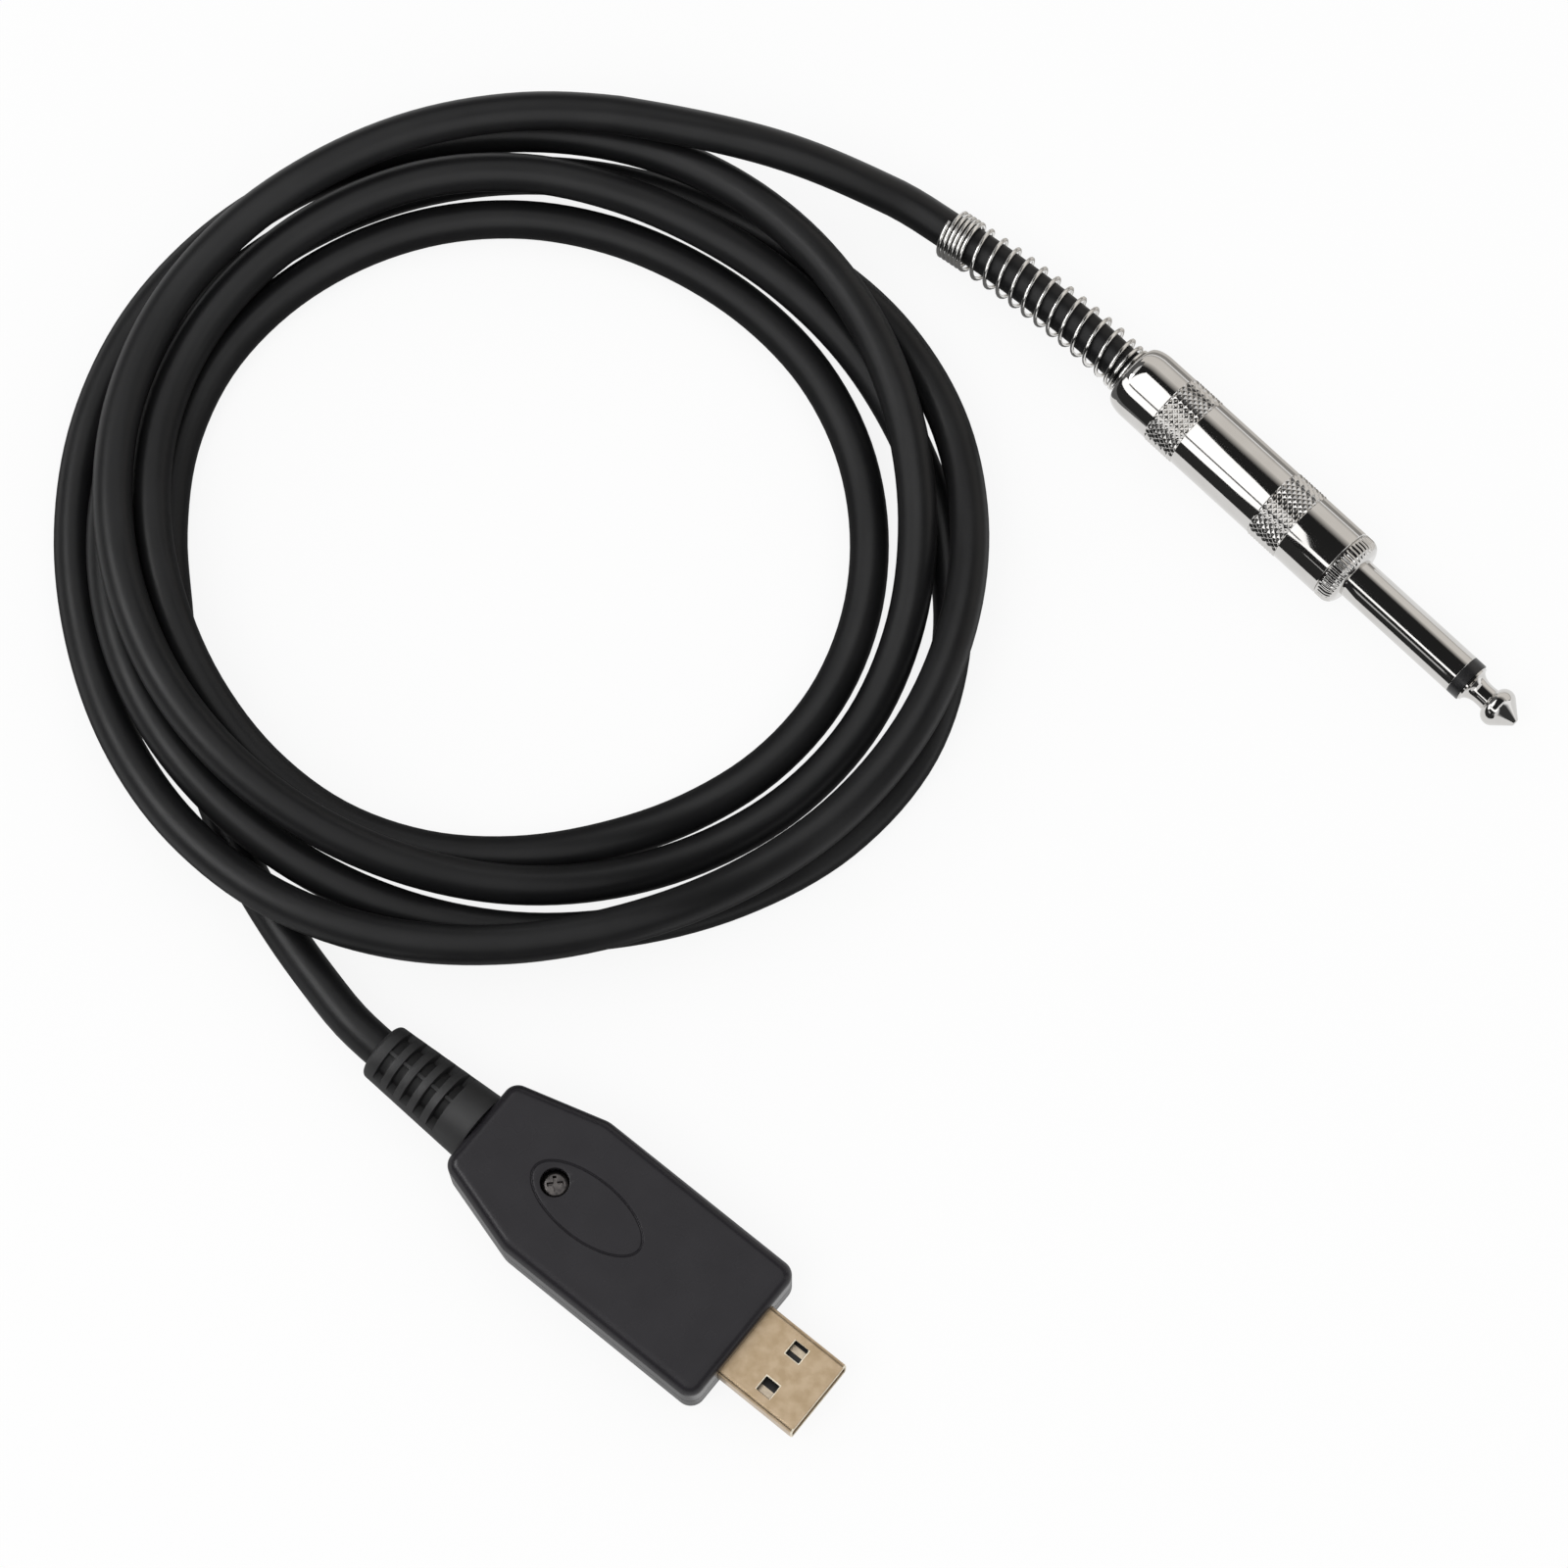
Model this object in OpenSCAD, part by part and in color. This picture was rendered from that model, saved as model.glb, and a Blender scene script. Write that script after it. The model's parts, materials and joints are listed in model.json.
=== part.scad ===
// Instrument cable: a USB plug with its audio interface at one end, a quarter inch plug at the
// other, and one cord between them that lies in a loose coil of four and a half loops.
// The origin is the centre of the USB housing's flat underside, +Z is up, and the table is z = 0.

/* [Cord] */
// Outer diameter of the cord's jacket
cord_d = 5.7; // [5.2:0.1:6]
// Diameter of the insulated conductor inside the cord
conductor_d = 1.6; // [1.2:0.1:1.8]
// Diameter of the twisted shield wire
shield_d = 1.2; // [0.8:0.1:1.4]
// Radial play between the cord and the bores that it runs through
cord_play = 0.1; // [0.05:0.05:0.3]

/* [USB housing] */
// Length of the housing, without the strain relief and the plug
housing_len = 47.5; // [44:0.5:56]
// Full width of the housing
housing_w = 23; // [21:0.5:28]
// Width of the housing at its rear end
housing_rear_w = 15; // [14:0.5:18]
// Length of the tapered rear part
taper_len = 14; // [10:0.5:16]
// Height of the two shells together
housing_h = 11; // [10.5:0.25:14]
// Wall thickness of the two shells
housing_wall = 1.5; // [1.2:0.1:1.8]
// Rounding of the upper and lower edges
edge_r = 1.8; // [1:0.1:2]
// Rounding of the upright corners
corner_r = 2.2; // [2:0.1:3]
// Height of the lip that locates one shell in the other
lip_h = 0.8; // [0.5:0.1:1.2]
// Length of the oval groove on the top
oval_len = 19; // [16:0.5:22]
// Width of the oval groove on the top
oval_w = 9; // [7:0.5:11]
// Distance from the housing's rear end to the middle of the oval
oval_from_rear = 19.5; // [16:0.1:22]
// Depth of the oval groove
oval_depth = 0.35; // [0.2:0.05:0.6]

/* [Housing screw] */
// Distance from the housing's rear end to the screw
screw_from_rear = 13.8; // [12:0.1:15]
// Diameter of the screw's head
screw_head_d = 3.8; // [3.4:0.1:4.4]
// Height of the screw's head
screw_head_h = 1.5; // [1.2:0.1:1.8]
// Diameter of the screw's shank
screw_d = 2.2; // [1.8:0.1:2.6]
// Diameter of the two bosses that the screw draws together
boss_d = 5.6; // [5:0.1:6]

/* [USB plug] */
// Width of the plug's metal shell
shell_w = 12; // [11.9:0.05:12.1]
// Height of the plug's metal shell
shell_h = 4.5; // [4.4:0.05:4.6]
// Sheet thickness of the metal shell
shell_t = 0.3; // [0.25:0.05:0.4]
// Length of the shell that stands out of the housing
shell_out = 12.9; // [11.75:0.1:14]
// Length of the shell inside the housing
shell_in = 6.4; // [5.5:0.1:8]
// Size of the square windows in the shell
window = 2.3; // [2:0.1:2.5]
// Distance between the two windows' centres
window_gap = 6.3; // [6:0.1:6.6]
// Distance from the shell's mouth to the windows' centres
window_back = 6.4; // [5:0.1:7]
// Width of one contact blade
contact_w = 1; // [0.8:0.1:1.2]
// Thickness of one contact blade
contact_t = 0.2; // [0.15:0.05:0.3]

/* [Circuit board] */
// Clearance between the circuit board's long edges and the housing's walls
board_side_gap = 1; // [0.5:0.1:3]
// Clearance between the circuit board and the screw's boss
board_boss_gap = 0.4; // [0.2:0.1:2]
// Thickness of the circuit board
board_t = 1.2; // [0.8:0.1:1.6]
// Side of the square audio codec chip
chip_w = 7; // [5:0.5:8]
// Height of the audio codec chip
chip_h = 1.2; // [0.8:0.1:1.6]
// Length of the crystal's can
crystal_len = 4.4; // [3:0.1:5]
// Width of the crystal's can
crystal_w = 3; // [2:0.1:3.4]
// Length of one capacitor
cap_len = 1.6; // [1:0.1:2]
// Width and height of one capacitor
cap_w = 0.8; // [0.5:0.1:1.2]
// Distance from one capacitor to the next
cap_pitch = 2.4; // [2.1:0.1:3]

/* [Strain relief] */
// Length of the strain relief outside the housing
relief_len = 18; // [15:0.5:22]
// Diameter of the strain relief at its cord end
relief_tip_d = 8.7; // [8.2:0.1:9.5]
// Clearance between the strain relief's root and the table
relief_lift = 0.2; // [0.1:0.05:1]
// Number of slots along the strain relief
slot_count = 5; // [3:1:6]
// Width of one slot
slot_w = 1.05; // [0.6:0.05:1.3]
// Distance from one slot to the next
slot_pitch = 2.5; // [2:0.1:2.6]
// Angle that one slot runs round the upper or the lower side
slot_angle = 152; // [120:2:160]
// Angle that the slots are turned away from the middle, towards the right-hand side
slot_lean = 10; // [0:2:14]

/* [Quarter inch plug] */
// Length of the knurled barrel
barrel_len = 41.5; // [38:0.5:46]
// Diameter of the smooth part of the barrel
barrel_d = 11.2; // [10.8:0.1:12.5]
// Bore of the barrel
barrel_bore = 9.4; // [9.2:0.1:9.8]
// Thickness of the barrel's rear wall
barrel_rear_wall = 3.2; // [2.5:0.1:3.8]
// Length of the barrel's rounded rear shoulder
shoulder_len = 3; // [1.5:0.1:3.5]
// Width of the flat rim round the barrel's rear hole
rear_rim = 0.35; // [0.2:0.05:0.6]
// Width of each knurled band
knurl_w = 5.2; // [3:0.1:6]
// Distance from the barrel's rear end to the first band
knurl_1 = 7.8; // [6:0.1:12]
// Distance from the barrel's rear end to the second band
knurl_2 = 28.4; // [22:0.1:31]
// Height of the knurled bands over the barrel
knurl_raise = 0.1; // [0.05:0.01:0.2]
// Length of the collar in front of the barrel
collar_len = 3; // [2:0.1:4]
// Rounding of the collar's front edge
collar_r = 1.8; // [0.5:0.1:1.9]
// Number of flutes round the collar
flute_count = 48; // [24:2:60]
// Depth of the flutes
flute_depth = 0.16; // [0.1:0.02:0.3]
// Pitch of the thread between barrel and collar
thread_pitch = 1; // [0.75:0.25:1.25]
// Whole turns that free the barrel from the thread
thread_turns = 5; // [3:1:6]
// Diameter of the plug's sleeve contact
sleeve_d = 6.35; // [6.3:0.01:6.4]
// Diameter of the sleeve contact's root inside the collar
sleeve_root_d = 6; // [5.6:0.1:6.2]
// Bore of the plug's sleeve contact
sleeve_bore = 4.6; // [4.4:0.1:4.8]
// Length of the sleeve contact in front of the collar
sleeve_out = 20.7; // [18:0.1:22]
// Width of the insulating ring
ring_w = 1.8; // [1.2:0.1:2.5]
// Length of the tip contact
tip_len = 8.6; // [7.5:0.1:9]
// Diameter of the rod inside the plug
rod_d = 2.5; // [2:0.1:3]
// Running clearance of the barrel on the thread, on the radius
thread_play = 0.05; // [0.02:0.01:0.1]
// Seating clearance of the pieces inside the plug, on the radius
seat_play = 0.03; // [0.02:0.01:0.05]

/* [Spring guard] */
// Diameter of the spring's wire
wire_d = 0.55; // [0.45:0.05:0.6]
// Play between the spring's turns and the cord, on the radius
guard_play = 0.2; // [0.15:0.05:0.3]
// Number of close turns at the cord end
rear_turns = 4; // [2:1:6]
// Number of open turns
open_turns = 12; // [8:1:14]
// Number of close turns at the barrel
front_turns = 3; // [2:1:4]
// Pitch of the open turns
open_pitch = 2.4; // [1.8:0.1:2.6]
// Pitch of the close turns
close_pitch = 1; // [1:0.05:1.2]
// Radius of the bend that the spring guard takes with the cord
guard_bend = 200; // [150:10:400]

/* [Hidden] */

// Places of the two ends on the table, and the coil's centre
usb_angle = -39;
jack_angle = -45;
jack_place = [74.5, 127.5];
coil_centre = [-14.5, 104];

// The coil: distance of the cord from the coil's centre and height of its middle over the table,
// every 45 degrees, eight to a loop. The first and the last values only steer the ends.
// These two lists weren't chosen by hand: a fitting program made them, in half millimetres. Loops
// worked out from a formula would be the cleaner way, so don't take the lists as an example.
stations_per_loop = 8;
coil_start_angle = 60;
coil_radius = [90.5, 66.3, 60.5, 60, 56.5, 54.5, 54.5, 57.5,
    57.5, 60, 63, 65.5, 64.5, 66, 63, 65,
    64, 57.5, 56.5, 59, 59.5, 59.5, 61.5, 66.5,
    58, 52.5, 55, 55, 51.5, 50.5, 48.5, 51,
    50, 48, 50, 52, 51.5, 59.5];
coil_height = [6, 13, 14.5, 12.5, 14, 12.5, 4.5, 3.5,
    10.5, 9.5, 4, 3, 4, 10, 10.5, 11,
    6.5, 3.5, 3, 3.5, 8.5, 8.5, 3.5, 3,
    3.5, 8, 9, 8.5, 10, 4, 3, 3,
    3, 3, 3, 3, 3, 4];

// The free stretches of the cord between the coil and the two ends
usb_lead_points = [[-60.5, 74, 3], [-57, 63, 3], [-52.5, 53, 3], [-47, 44, 3.2], [-41.5, 36.3, 4.2],
    [-36.8, 30.4, 5.2]];
jack_lead_points = [[30, 158, 11.2], [36, 156, 8.9], [42, 153.5, 6.8]];

// Counts of rings and sides that the swept forms are drawn with
rings_per_loop = 24;
coil_sides = 6;
lead_sides = 8;
rings_per_turn = 8;
wire_sides = 6;
samples = 4;
fine = 32;
arc_steps = 4;
bend_steps = 4;

// Values that follow from the sizes above
split_z = housing_h / 2;
rear_x = -housing_len / 2;
front_x = housing_len / 2;
cavity_h = housing_h - 2 * housing_wall;
shoulder_x = rear_x + taper_len;
housing_corners = [[rear_x, -housing_rear_w / 2, corner_r], [shoulder_x, -housing_w / 2, 2 * corner_r],
    [front_x, -housing_w / 2, corner_r], [front_x, housing_w / 2, corner_r],
    [shoulder_x, housing_w / 2, 2 * corner_r], [rear_x, housing_rear_w / 2, corner_r]];
skin = 0.1;
fit_gap = 0.05;
screw_x = rear_x + screw_from_rear;
screw_sink = 0.9;
head_play = 0.15;
screw_tip_play = 0.1;
screw_len = housing_h - screw_sink - screw_head_h - housing_wall - screw_tip_play;
cord_bore = cord_d + 2 * cord_play;

shell_mouth = front_x + shell_out;
shell_rear = front_x - shell_in;
shell_corner = 0.8;
tongue_h = 1.92;
tongue_base_len = 4.5;
tongue_back = 0.6;
blade_top = split_z + contact_t;
contact_back = 1.4;
contact_offsets = [-3.5, -1, 1, 3.5];
contact_tail = 3;
contact_land = shell_rear - contact_tail - 0.3;
crystal_x = contact_land - 0.4 - crystal_len / 2;
board_front = shell_rear - fit_gap;
board_rear = screw_x + boss_d / 2 + board_boss_gap;
board_len = board_front - board_rear;
board_w = housing_w - 2 * housing_wall - 2 * board_side_gap;
board_bottom = split_z - board_t;
chip_x = board_rear + 0.48 * board_len;
crystal_y = board_w / 2 - crystal_w / 2 - 1.6;

relief_root_d = housing_h - 2 * relief_lift;
relief_round = 0.8;
relief_start = rear_x - relief_len;
neck_d = cord_bore + 2.2;
flange_t = 2;
flange_w = housing_rear_w - 2 * housing_wall - 1.2;
relief_end = rear_x + housing_wall + flange_t;
jacket_end_x = relief_end + 1;
first_slot = 2.7;
slot_floor_d = cord_bore + 1.3;

jack_z = barrel_d / 2 + knurl_raise;
barrel_chamfer = 0.3;
thread_travel = thread_turns * thread_pitch;
spigot_len = thread_travel + 2;
spigot_rear = barrel_len - spigot_len;
spigot_d = barrel_bore - 2 * thread_play;
collar_front = barrel_len + collar_len;
ring_rear = collar_front + sleeve_out;
tip_rear = ring_rear + ring_w;
tip_front = tip_rear + tip_len;
lining_len = 20;
lining_d = sleeve_bore - 2 * seat_play;
lining_bore = rod_d + 2 * seat_play;
clamp_t = 0.8;
clamp_rear = spigot_rear - clamp_t;
clamp_ring_d = 8.4;
clamp_arm_w = 3;
clamp_bore = cord_bore;
clamp_wall = 0.6;
clamp_arm_top = clamp_bore / 2 + 0.3;
clamp_arm_t = 0.7;
finger_len = 1.6;
fingers = [7, 10];
finger_angle = 290;
arm_rear = fingers[0];
flange_len = 0.8;
washer_d = 2 * clamp_arm_top - 0.1;
washer_rear = clamp_rear - flange_len;
terminal_t = 0.6;
terminal_d = 5.2;
terminal_rear = washer_rear - terminal_t;
terminal_tab_len = 8;
terminal_tab_w = 3;
rivet_d = 3;
rivet_len = 0.6;
rivet_rear = terminal_rear - rivet_len;
tab_z = rivet_d / 2 + 0.15;
tube_d = barrel_bore - 0.2;
tube_bore = tube_d - 0.6;
tube_front = terminal_rear - 0.1;
jacket_end = 15;

guard_r = cord_d / 2 + guard_play + wire_d / 2;
guard_hole = 2 * guard_r + wire_d + 0.7;
pass_pitch = barrel_rear_wall;
flare_r = barrel_bore / 2 - wire_d / 2 - 0.2;
guard_front_close = 0.8;
guard_turns = rear_turns + open_turns + front_turns + 2;
guard_start = guard_front_close - rear_turns * close_pitch - open_turns * open_pitch
    - front_turns * close_pitch;
flare_front = guard_front_close + pass_pitch + close_pitch + wire_d / 2;
tube_rear = flare_front + thread_travel + 0.4;

// Unit vector along v
function unit(v) = v / norm(v);

// A smooth value between the stations of a list, at place u counted in stations
function blend(list, u) =
    let (i = min(floor(u), len(list) - 3), t = u - i,
        a = list[i - 1], b = list[i], c = list[i + 1], d = list[i + 2])
    b + (c - a) * t / 2 + (2 * a - 5 * b + 4 * c - d) * t * t / 2
    + (3 * b - a - 3 * c + d) * t * t * t / 2;

// A point turned about Z and moved
function placed(p, angle, origin) =
    [p.x * cos(angle) - p.y * sin(angle), p.x * sin(angle) + p.y * cos(angle), p.z] + origin;
function usb_point(p) = placed(p, usb_angle, [0, 0, split_z]);
function jack_point(p) = placed(p, jack_angle, [jack_place.x, jack_place.y, jack_z]);

// The middle of the coiled cord, one point to each ring
coil_rings = (len(coil_radius) - 3) * rings_per_loop / stations_per_loop;
coil_path = [for (k = [0:coil_rings])
    let (u = 1 + k * stations_per_loop / rings_per_loop,
        angle = coil_start_angle + k * 360 / rings_per_loop,
        r = blend(coil_radius, u))
    [coil_centre.x + r * cos(angle), coil_centre.y + r * sin(angle), blend(coil_height, u)]];

// The first short step out of the coil goes straight on
stub_len = 1.5;
jack_stub = coil_path[0] + unit(coil_path[0] - coil_path[1]) * stub_len;
usb_stub = coil_path[coil_rings] + unit(coil_path[coil_rings] - coil_path[coil_rings - 1]) * stub_len;

// The middle of the spring guard: behind the barrel it bends with the cord, inside it is straight
function guard_axis(s) =
    let (a = s < 0 ? -s / guard_bend * 180 / PI : 0)
    [s < 0 ? -guard_bend * sin(a) : s, -guard_bend * (1 - cos(a)), 0];
function guard_side(s) =
    let (a = s < 0 ? -s / guard_bend * 180 / PI : 0) [sin(a), -cos(a), 0];

usb_lead_path = concat([coil_path[coil_rings], usb_stub], usb_lead_points,
    [for (x = [relief_start, relief_start + relief_len / 2, rear_x, jacket_end_x])
        usb_point([x, 0, 0])]);
jack_lead_path = concat([coil_path[0], jack_stub], jack_lead_points,
    [for (k = [0:bend_steps - 1]) jack_point(guard_axis(guard_start * (1 - k / bend_steps)))],
    [for (x = [0, jacket_end / 2, jacket_end]) jack_point([x, 0, 0])]);

// Place along the axis and radius of the spring after n turns
function guard_s(n) =
    let (n2 = n - rear_turns, n3 = n2 - open_turns, n4 = n3 - front_turns)
    n2 < 0 ? guard_start + n * close_pitch
    : n3 < 0 ? guard_start + rear_turns * close_pitch + n2 * open_pitch
    : n4 < 0 ? guard_front_close - front_turns * close_pitch + n3 * close_pitch
    : n4 < 1 ? guard_front_close + n4 * pass_pitch
    : guard_front_close + pass_pitch + (n4 - 1) * close_pitch;
function guard_wire_r(n) =
    let (n4 = n - guard_turns + 1.25) n4 < 0 ? guard_r : min(1, n4 * 4) * (flare_r - guard_r) + guard_r;
function guard_out(n) =
    let (side = guard_side(guard_s(n)), a = n * 360) cos(a) * side + [0, 0, sin(a)];
guard_rings = guard_turns * rings_per_turn;
guard_path = [for (k = [0:guard_rings])
    let (n = k / rings_per_turn) guard_axis(guard_s(n)) + guard_wire_r(n) * guard_out(n)];
guard_refs = [for (k = [0:guard_rings]) guard_out(k / rings_per_turn)];

// Direction of a path at point i
function heading(path, i) =
    let (last = len(path) - 1)
    i == 0 ? unit(path[1] - path[0])
    : i == last ? unit(path[last] - path[last - 1])
    : unit(unit(path[i + 1] - path[i]) + unit(path[i] - path[i - 1]));

// One ring of points round a path, with its first point on the side that ref names
function ring(path, i, r, sides, ref) =
    let (t = heading(path, i), s = unit(ref - (ref * t) * t), u = cross(s, t))
    [for (k = [0:sides - 1]) path[i] + r * (cos(k * 360 / sides) * s + sin(k * 360 / sides) * u)];

// Sideways directions of a path that runs roughly level
function level_refs(path) = [for (i = [0:len(path) - 1]) cross(heading(path, i), [0, 0, 1])];

// Points of a path, with more points put in on every straight step
function sampled(path) = [for (i = [0:len(path) - 2], k = [0:samples - 1])
    path[i] + (path[i + 1] - path[i]) * k / samples];

// Least clear distance between stretches of a tube that are at least skip points apart
function least_gap(points, d, skip) =
    min([for (i = [0:len(points) - 1 - skip], j = [i + skip:len(points) - 1])
        norm(points[i] - points[j])]) - d;

// Length of a path
function path_length(path, i = 1) =
    i >= len(path) ? 0 : norm(path[i] - path[i - 1]) + path_length(path, i + 1);

// Middle of the arc that rounds corner b, whose neighbours are a and c; corners are [x, y, radius]
function arc_middle(a, b, c) =
    let (p = [b.x, b.y], u = unit([a.x, a.y] - p), v = unit([c.x, c.y] - p))
    p + unit(u + v) * b.z / sin(acos(u * v) / 2);
function neighbour(corners, i) = corners[(i + len(corners)) % len(corners)];
function arc_middles(corners) = [for (i = [0:len(corners) - 1])
    arc_middle(neighbour(corners, i - 1), corners[i], neighbour(corners, i + 1))];

// The same outline, a distance d further in all round
function inset(corners, d) =
    let (middles = arc_middles(corners))
    [for (i = [0:len(corners) - 1])
        let (c = corners[i], p = [c.x, c.y], r = max(c.z - d, 0.3),
            q = p + (middles[i] - p) * d / c.z) [q.x, q.y, r]];

// Points of a rounded outline, with arc_steps steps to each corner
function corner_arc(a, b, c) =
    let (p = [b.x, b.y], m = arc_middle(a, b, c), half = acos(unit([a.x, a.y] - p) * unit([c.x, c.y] - p)) / 2,
        from = p + unit([a.x, a.y] - p) * b.z / tan(half) - m, start = atan2(from.y, from.x),
        to = p + unit([c.x, c.y] - p) * b.z / tan(half) - m,
        sweep = ((atan2(to.y, to.x) - start + 540) % 360) - 180)
    [for (k = [0:arc_steps]) m + b.z * [cos(start + sweep * k / arc_steps),
        sin(start + sweep * k / arc_steps)]];
function rounded(corners) = [for (i = [0:len(corners) - 1]) each
    corner_arc(neighbour(corners, i - 1), corners[i], neighbour(corners, i + 1))];

module at_usb() {
    rotate([0, 0, usb_angle]) children();
}

module at_jack(x = 0) {
    translate([jack_place.x, jack_place.y, jack_z]) rotate([0, 0, jack_angle])
        translate([x, 0, 0]) rotate([0, 90, 0]) children();
}

module tube(path, r, sides, refs) {
    last = len(path) - 1;
    points = [for (i = [0:last]) each ring(path, i, r, sides, refs[i])];
    faces = concat(
        [for (k = [1:sides - 2]) [0, k, k + 1]],
        [for (k = [1:sides - 2]) [last * sides, last * sides + k + 1, last * sides + k]],
        [for (i = [0:last - 1], k = [0:sides - 1])
            let (a = i * sides + k, b = i * sides + (k + 1) % sides) each
            [[a, a + sides, b + sides], [a, b + sides, b]]]);
    polyhedron(points, faces);
}

// A level tube: cords and wires
module cord(path, d, sides) {
    tube(path, d / 2, sides, level_refs(path));
}

// A hollow cylinder that starts at z = 0
module pipe(d, bore, h) {
    difference() {
        cylinder(d = d, h = h, $fn = fine);
        translate([0, 0, -1]) cylinder(d = bore, h = h + 2, $fn = fine);
    }
}

// ---- USB end ----

// Outline of the housing seen from above, a distance d further in
module housing_plan(d = 0) {
    polygon(rounded(inset(housing_corners, d)));
}

// One rounded corner of a half, as an upright post with a rounded upper edge
module corner_post(r) {
    rotate_extrude($fn = 32) polygon(concat([[0, 0], [r, 0]],
        [for (a = [0:18:90]) [r - edge_r * (1 - cos(a)), split_z - edge_r * (1 - sin(a))]],
        [[0, split_z]]));
}

// Half of the housing's outer form, from the split up
module half_form() {
    middles = arc_middles(housing_corners);
    hull() for (i = [0:len(middles) - 1])
        translate([middles[i].x, middles[i].y, 0]) corner_post(housing_corners[i].z);
}

// The hollow of one half, from below the split to the wall
module half_hollow() {
    translate([0, 0, -1]) linear_extrude(1 + cavity_h / 2) housing_plan(housing_wall);
}

// Openings that both halves share: the plug's at the front and the strain relief's neck at the rear
module end_openings() {
    translate([front_x - housing_wall - 1, -shell_w / 2 - fit_gap, -shell_h / 2 - fit_gap])
        cube([housing_wall + 2, shell_w + 2 * fit_gap, shell_h + 2 * fit_gap]);
    translate([rear_x - 1, 0, 0]) rotate([0, 90, 0])
        cylinder(d = neck_d + 2 * fit_gap, h = housing_wall + 2, $fn = fine);
}

// A pad inside a half that holds the plug's shell
module shell_pad() {
    pad_w = shell_w - 2;
    translate([shell_rear, -pad_w / 2, shell_h / 2 + fit_gap])
        cube([shell_in - housing_wall + skin, pad_w, cavity_h / 2 - shell_h / 2 - fit_gap + skin]);
}

// Ribs beside the strain relief's flange, which stop it from being pulled out
module flange_ribs() {
    for (side = [-1, 1])
        translate([relief_end + fit_gap, side * (cord_d / 2 + 2.2) - 0.5, cord_d / 2])
            cube([1, 1, cavity_h / 2 - cord_d / 2 + skin]);
}

module oval_groove() {
    groove_w = 0.5;
    steps = 48;
    outer = [for (k = [0:steps - 1]) [cos(k * 360 / steps) * oval_len / 2, sin(k * 360 / steps) * oval_w / 2]];
    translate([rear_x + oval_from_rear, 0, split_z - oval_depth]) linear_extrude(oval_depth + 1)
        difference() {
            polygon(outer);
            polygon([for (p = outer) p * (1 - groove_w / norm(p))]);
        }
}

// A round boss for the screw, from z = 0 up to the wall
module screw_boss() {
    translate([screw_x, 0, 0]) cylinder(d = boss_d, h = cavity_h / 2 + skin, $fn = fine);
}

module housing_top() {
    color("#2b292c") at_usb() translate([0, 0, split_z]) difference() {
        union() {
            difference() {
                half_form();
                half_hollow();
                translate([0, 0, -1]) linear_extrude(1 + lip_h) housing_plan(housing_wall / 2);
            }
            shell_pad();
            flange_ribs();
            translate([0, 0, fit_gap]) screw_boss();
        }
        end_openings();
        oval_groove();
        translate([screw_x, 0, -1]) cylinder(d = screw_d + 0.3, h = split_z + 2, $fn = fine);
        translate([screw_x, 0, split_z - screw_sink - screw_head_h])
            cylinder(d = screw_head_d + 2 * head_play, h = split_z, $fn = fine);
    }
}

// The four posts that carry the circuit board
module board_posts() {
    for (x = [board_rear + 3, board_front - 8], side = [-1, 1])
        translate([x, side * (board_w / 2 - 1) - 0.75, housing_wall - skin])
            cube([1.5, 1.5, board_bottom - housing_wall + skin]);
}

module housing_bottom() {
    color("#2b292c") at_usb() difference() {
        union() {
            difference() {
                union() {
                    translate([0, 0, split_z]) mirror([0, 0, 1]) half_form();
                    translate([0, 0, split_z - 1]) linear_extrude(1 + lip_h - fit_gap)
                        housing_plan(housing_wall / 2 + fit_gap);
                }
                translate([0, 0, housing_wall]) linear_extrude(housing_h) housing_plan(housing_wall);
            }
            translate([0, 0, split_z]) mirror([0, 0, 1]) {
                shell_pad();
                flange_ribs();
                screw_boss();
            }
            board_posts();
        }
        translate([0, 0, split_z]) end_openings();
        translate([screw_x, 0, housing_wall]) cylinder(d = screw_d + 0.04, h = housing_h, $fn = fine);
    }
}

module housing_screw() {
    cross_w = 0.5;
    cross_len = 2.2;
    head_z = housing_h - screw_sink - screw_head_h;
    color("#3a3134") at_usb() translate([screw_x, 0, head_z]) difference() {
        union() {
            rotate_extrude($fn = fine) polygon([[0, 0], [screw_head_d / 2, 0],
                [screw_head_d / 2, screw_head_h * 0.5], [screw_head_d / 2 * 0.8, screw_head_h * 0.9],
                [screw_head_d / 2 * 0.5, screw_head_h], [0, screw_head_h]]);
            translate([0, 0, -screw_len]) cylinder(d = screw_d, h = screw_len + skin, $fn = fine);
        }
        for (a = [0, 90]) rotate([0, 0, a + 45])
            translate([-cross_len / 2, -cross_w / 2, screw_head_h * 0.45])
                cube([cross_len, cross_w, screw_head_h]);
    }
}

// Cross section of the plug's shell, smaller by inset all round
module shell_section(inset) {
    w = shell_w / 2 - inset;
    h = shell_h / 2 - inset;
    r = shell_corner - inset;
    polygon(rounded([[-h, -w, r], [h, -w, r], [h, w, r], [-h, w, r]]));
}

module usb_shell() {
    color("#c2ab8b") at_usb() translate([0, 0, split_z]) difference() {
        translate([shell_rear, 0, 0]) rotate([0, 90, 0]) linear_extrude(shell_in + shell_out)
            difference() {
                shell_section(0);
                shell_section(shell_t);
            }
        for (side = [-1, 1])
            translate([shell_mouth - window_back, side * window_gap / 2, 0])
                cube([window, window, shell_h + 2], center = true);
    }
}

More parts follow.
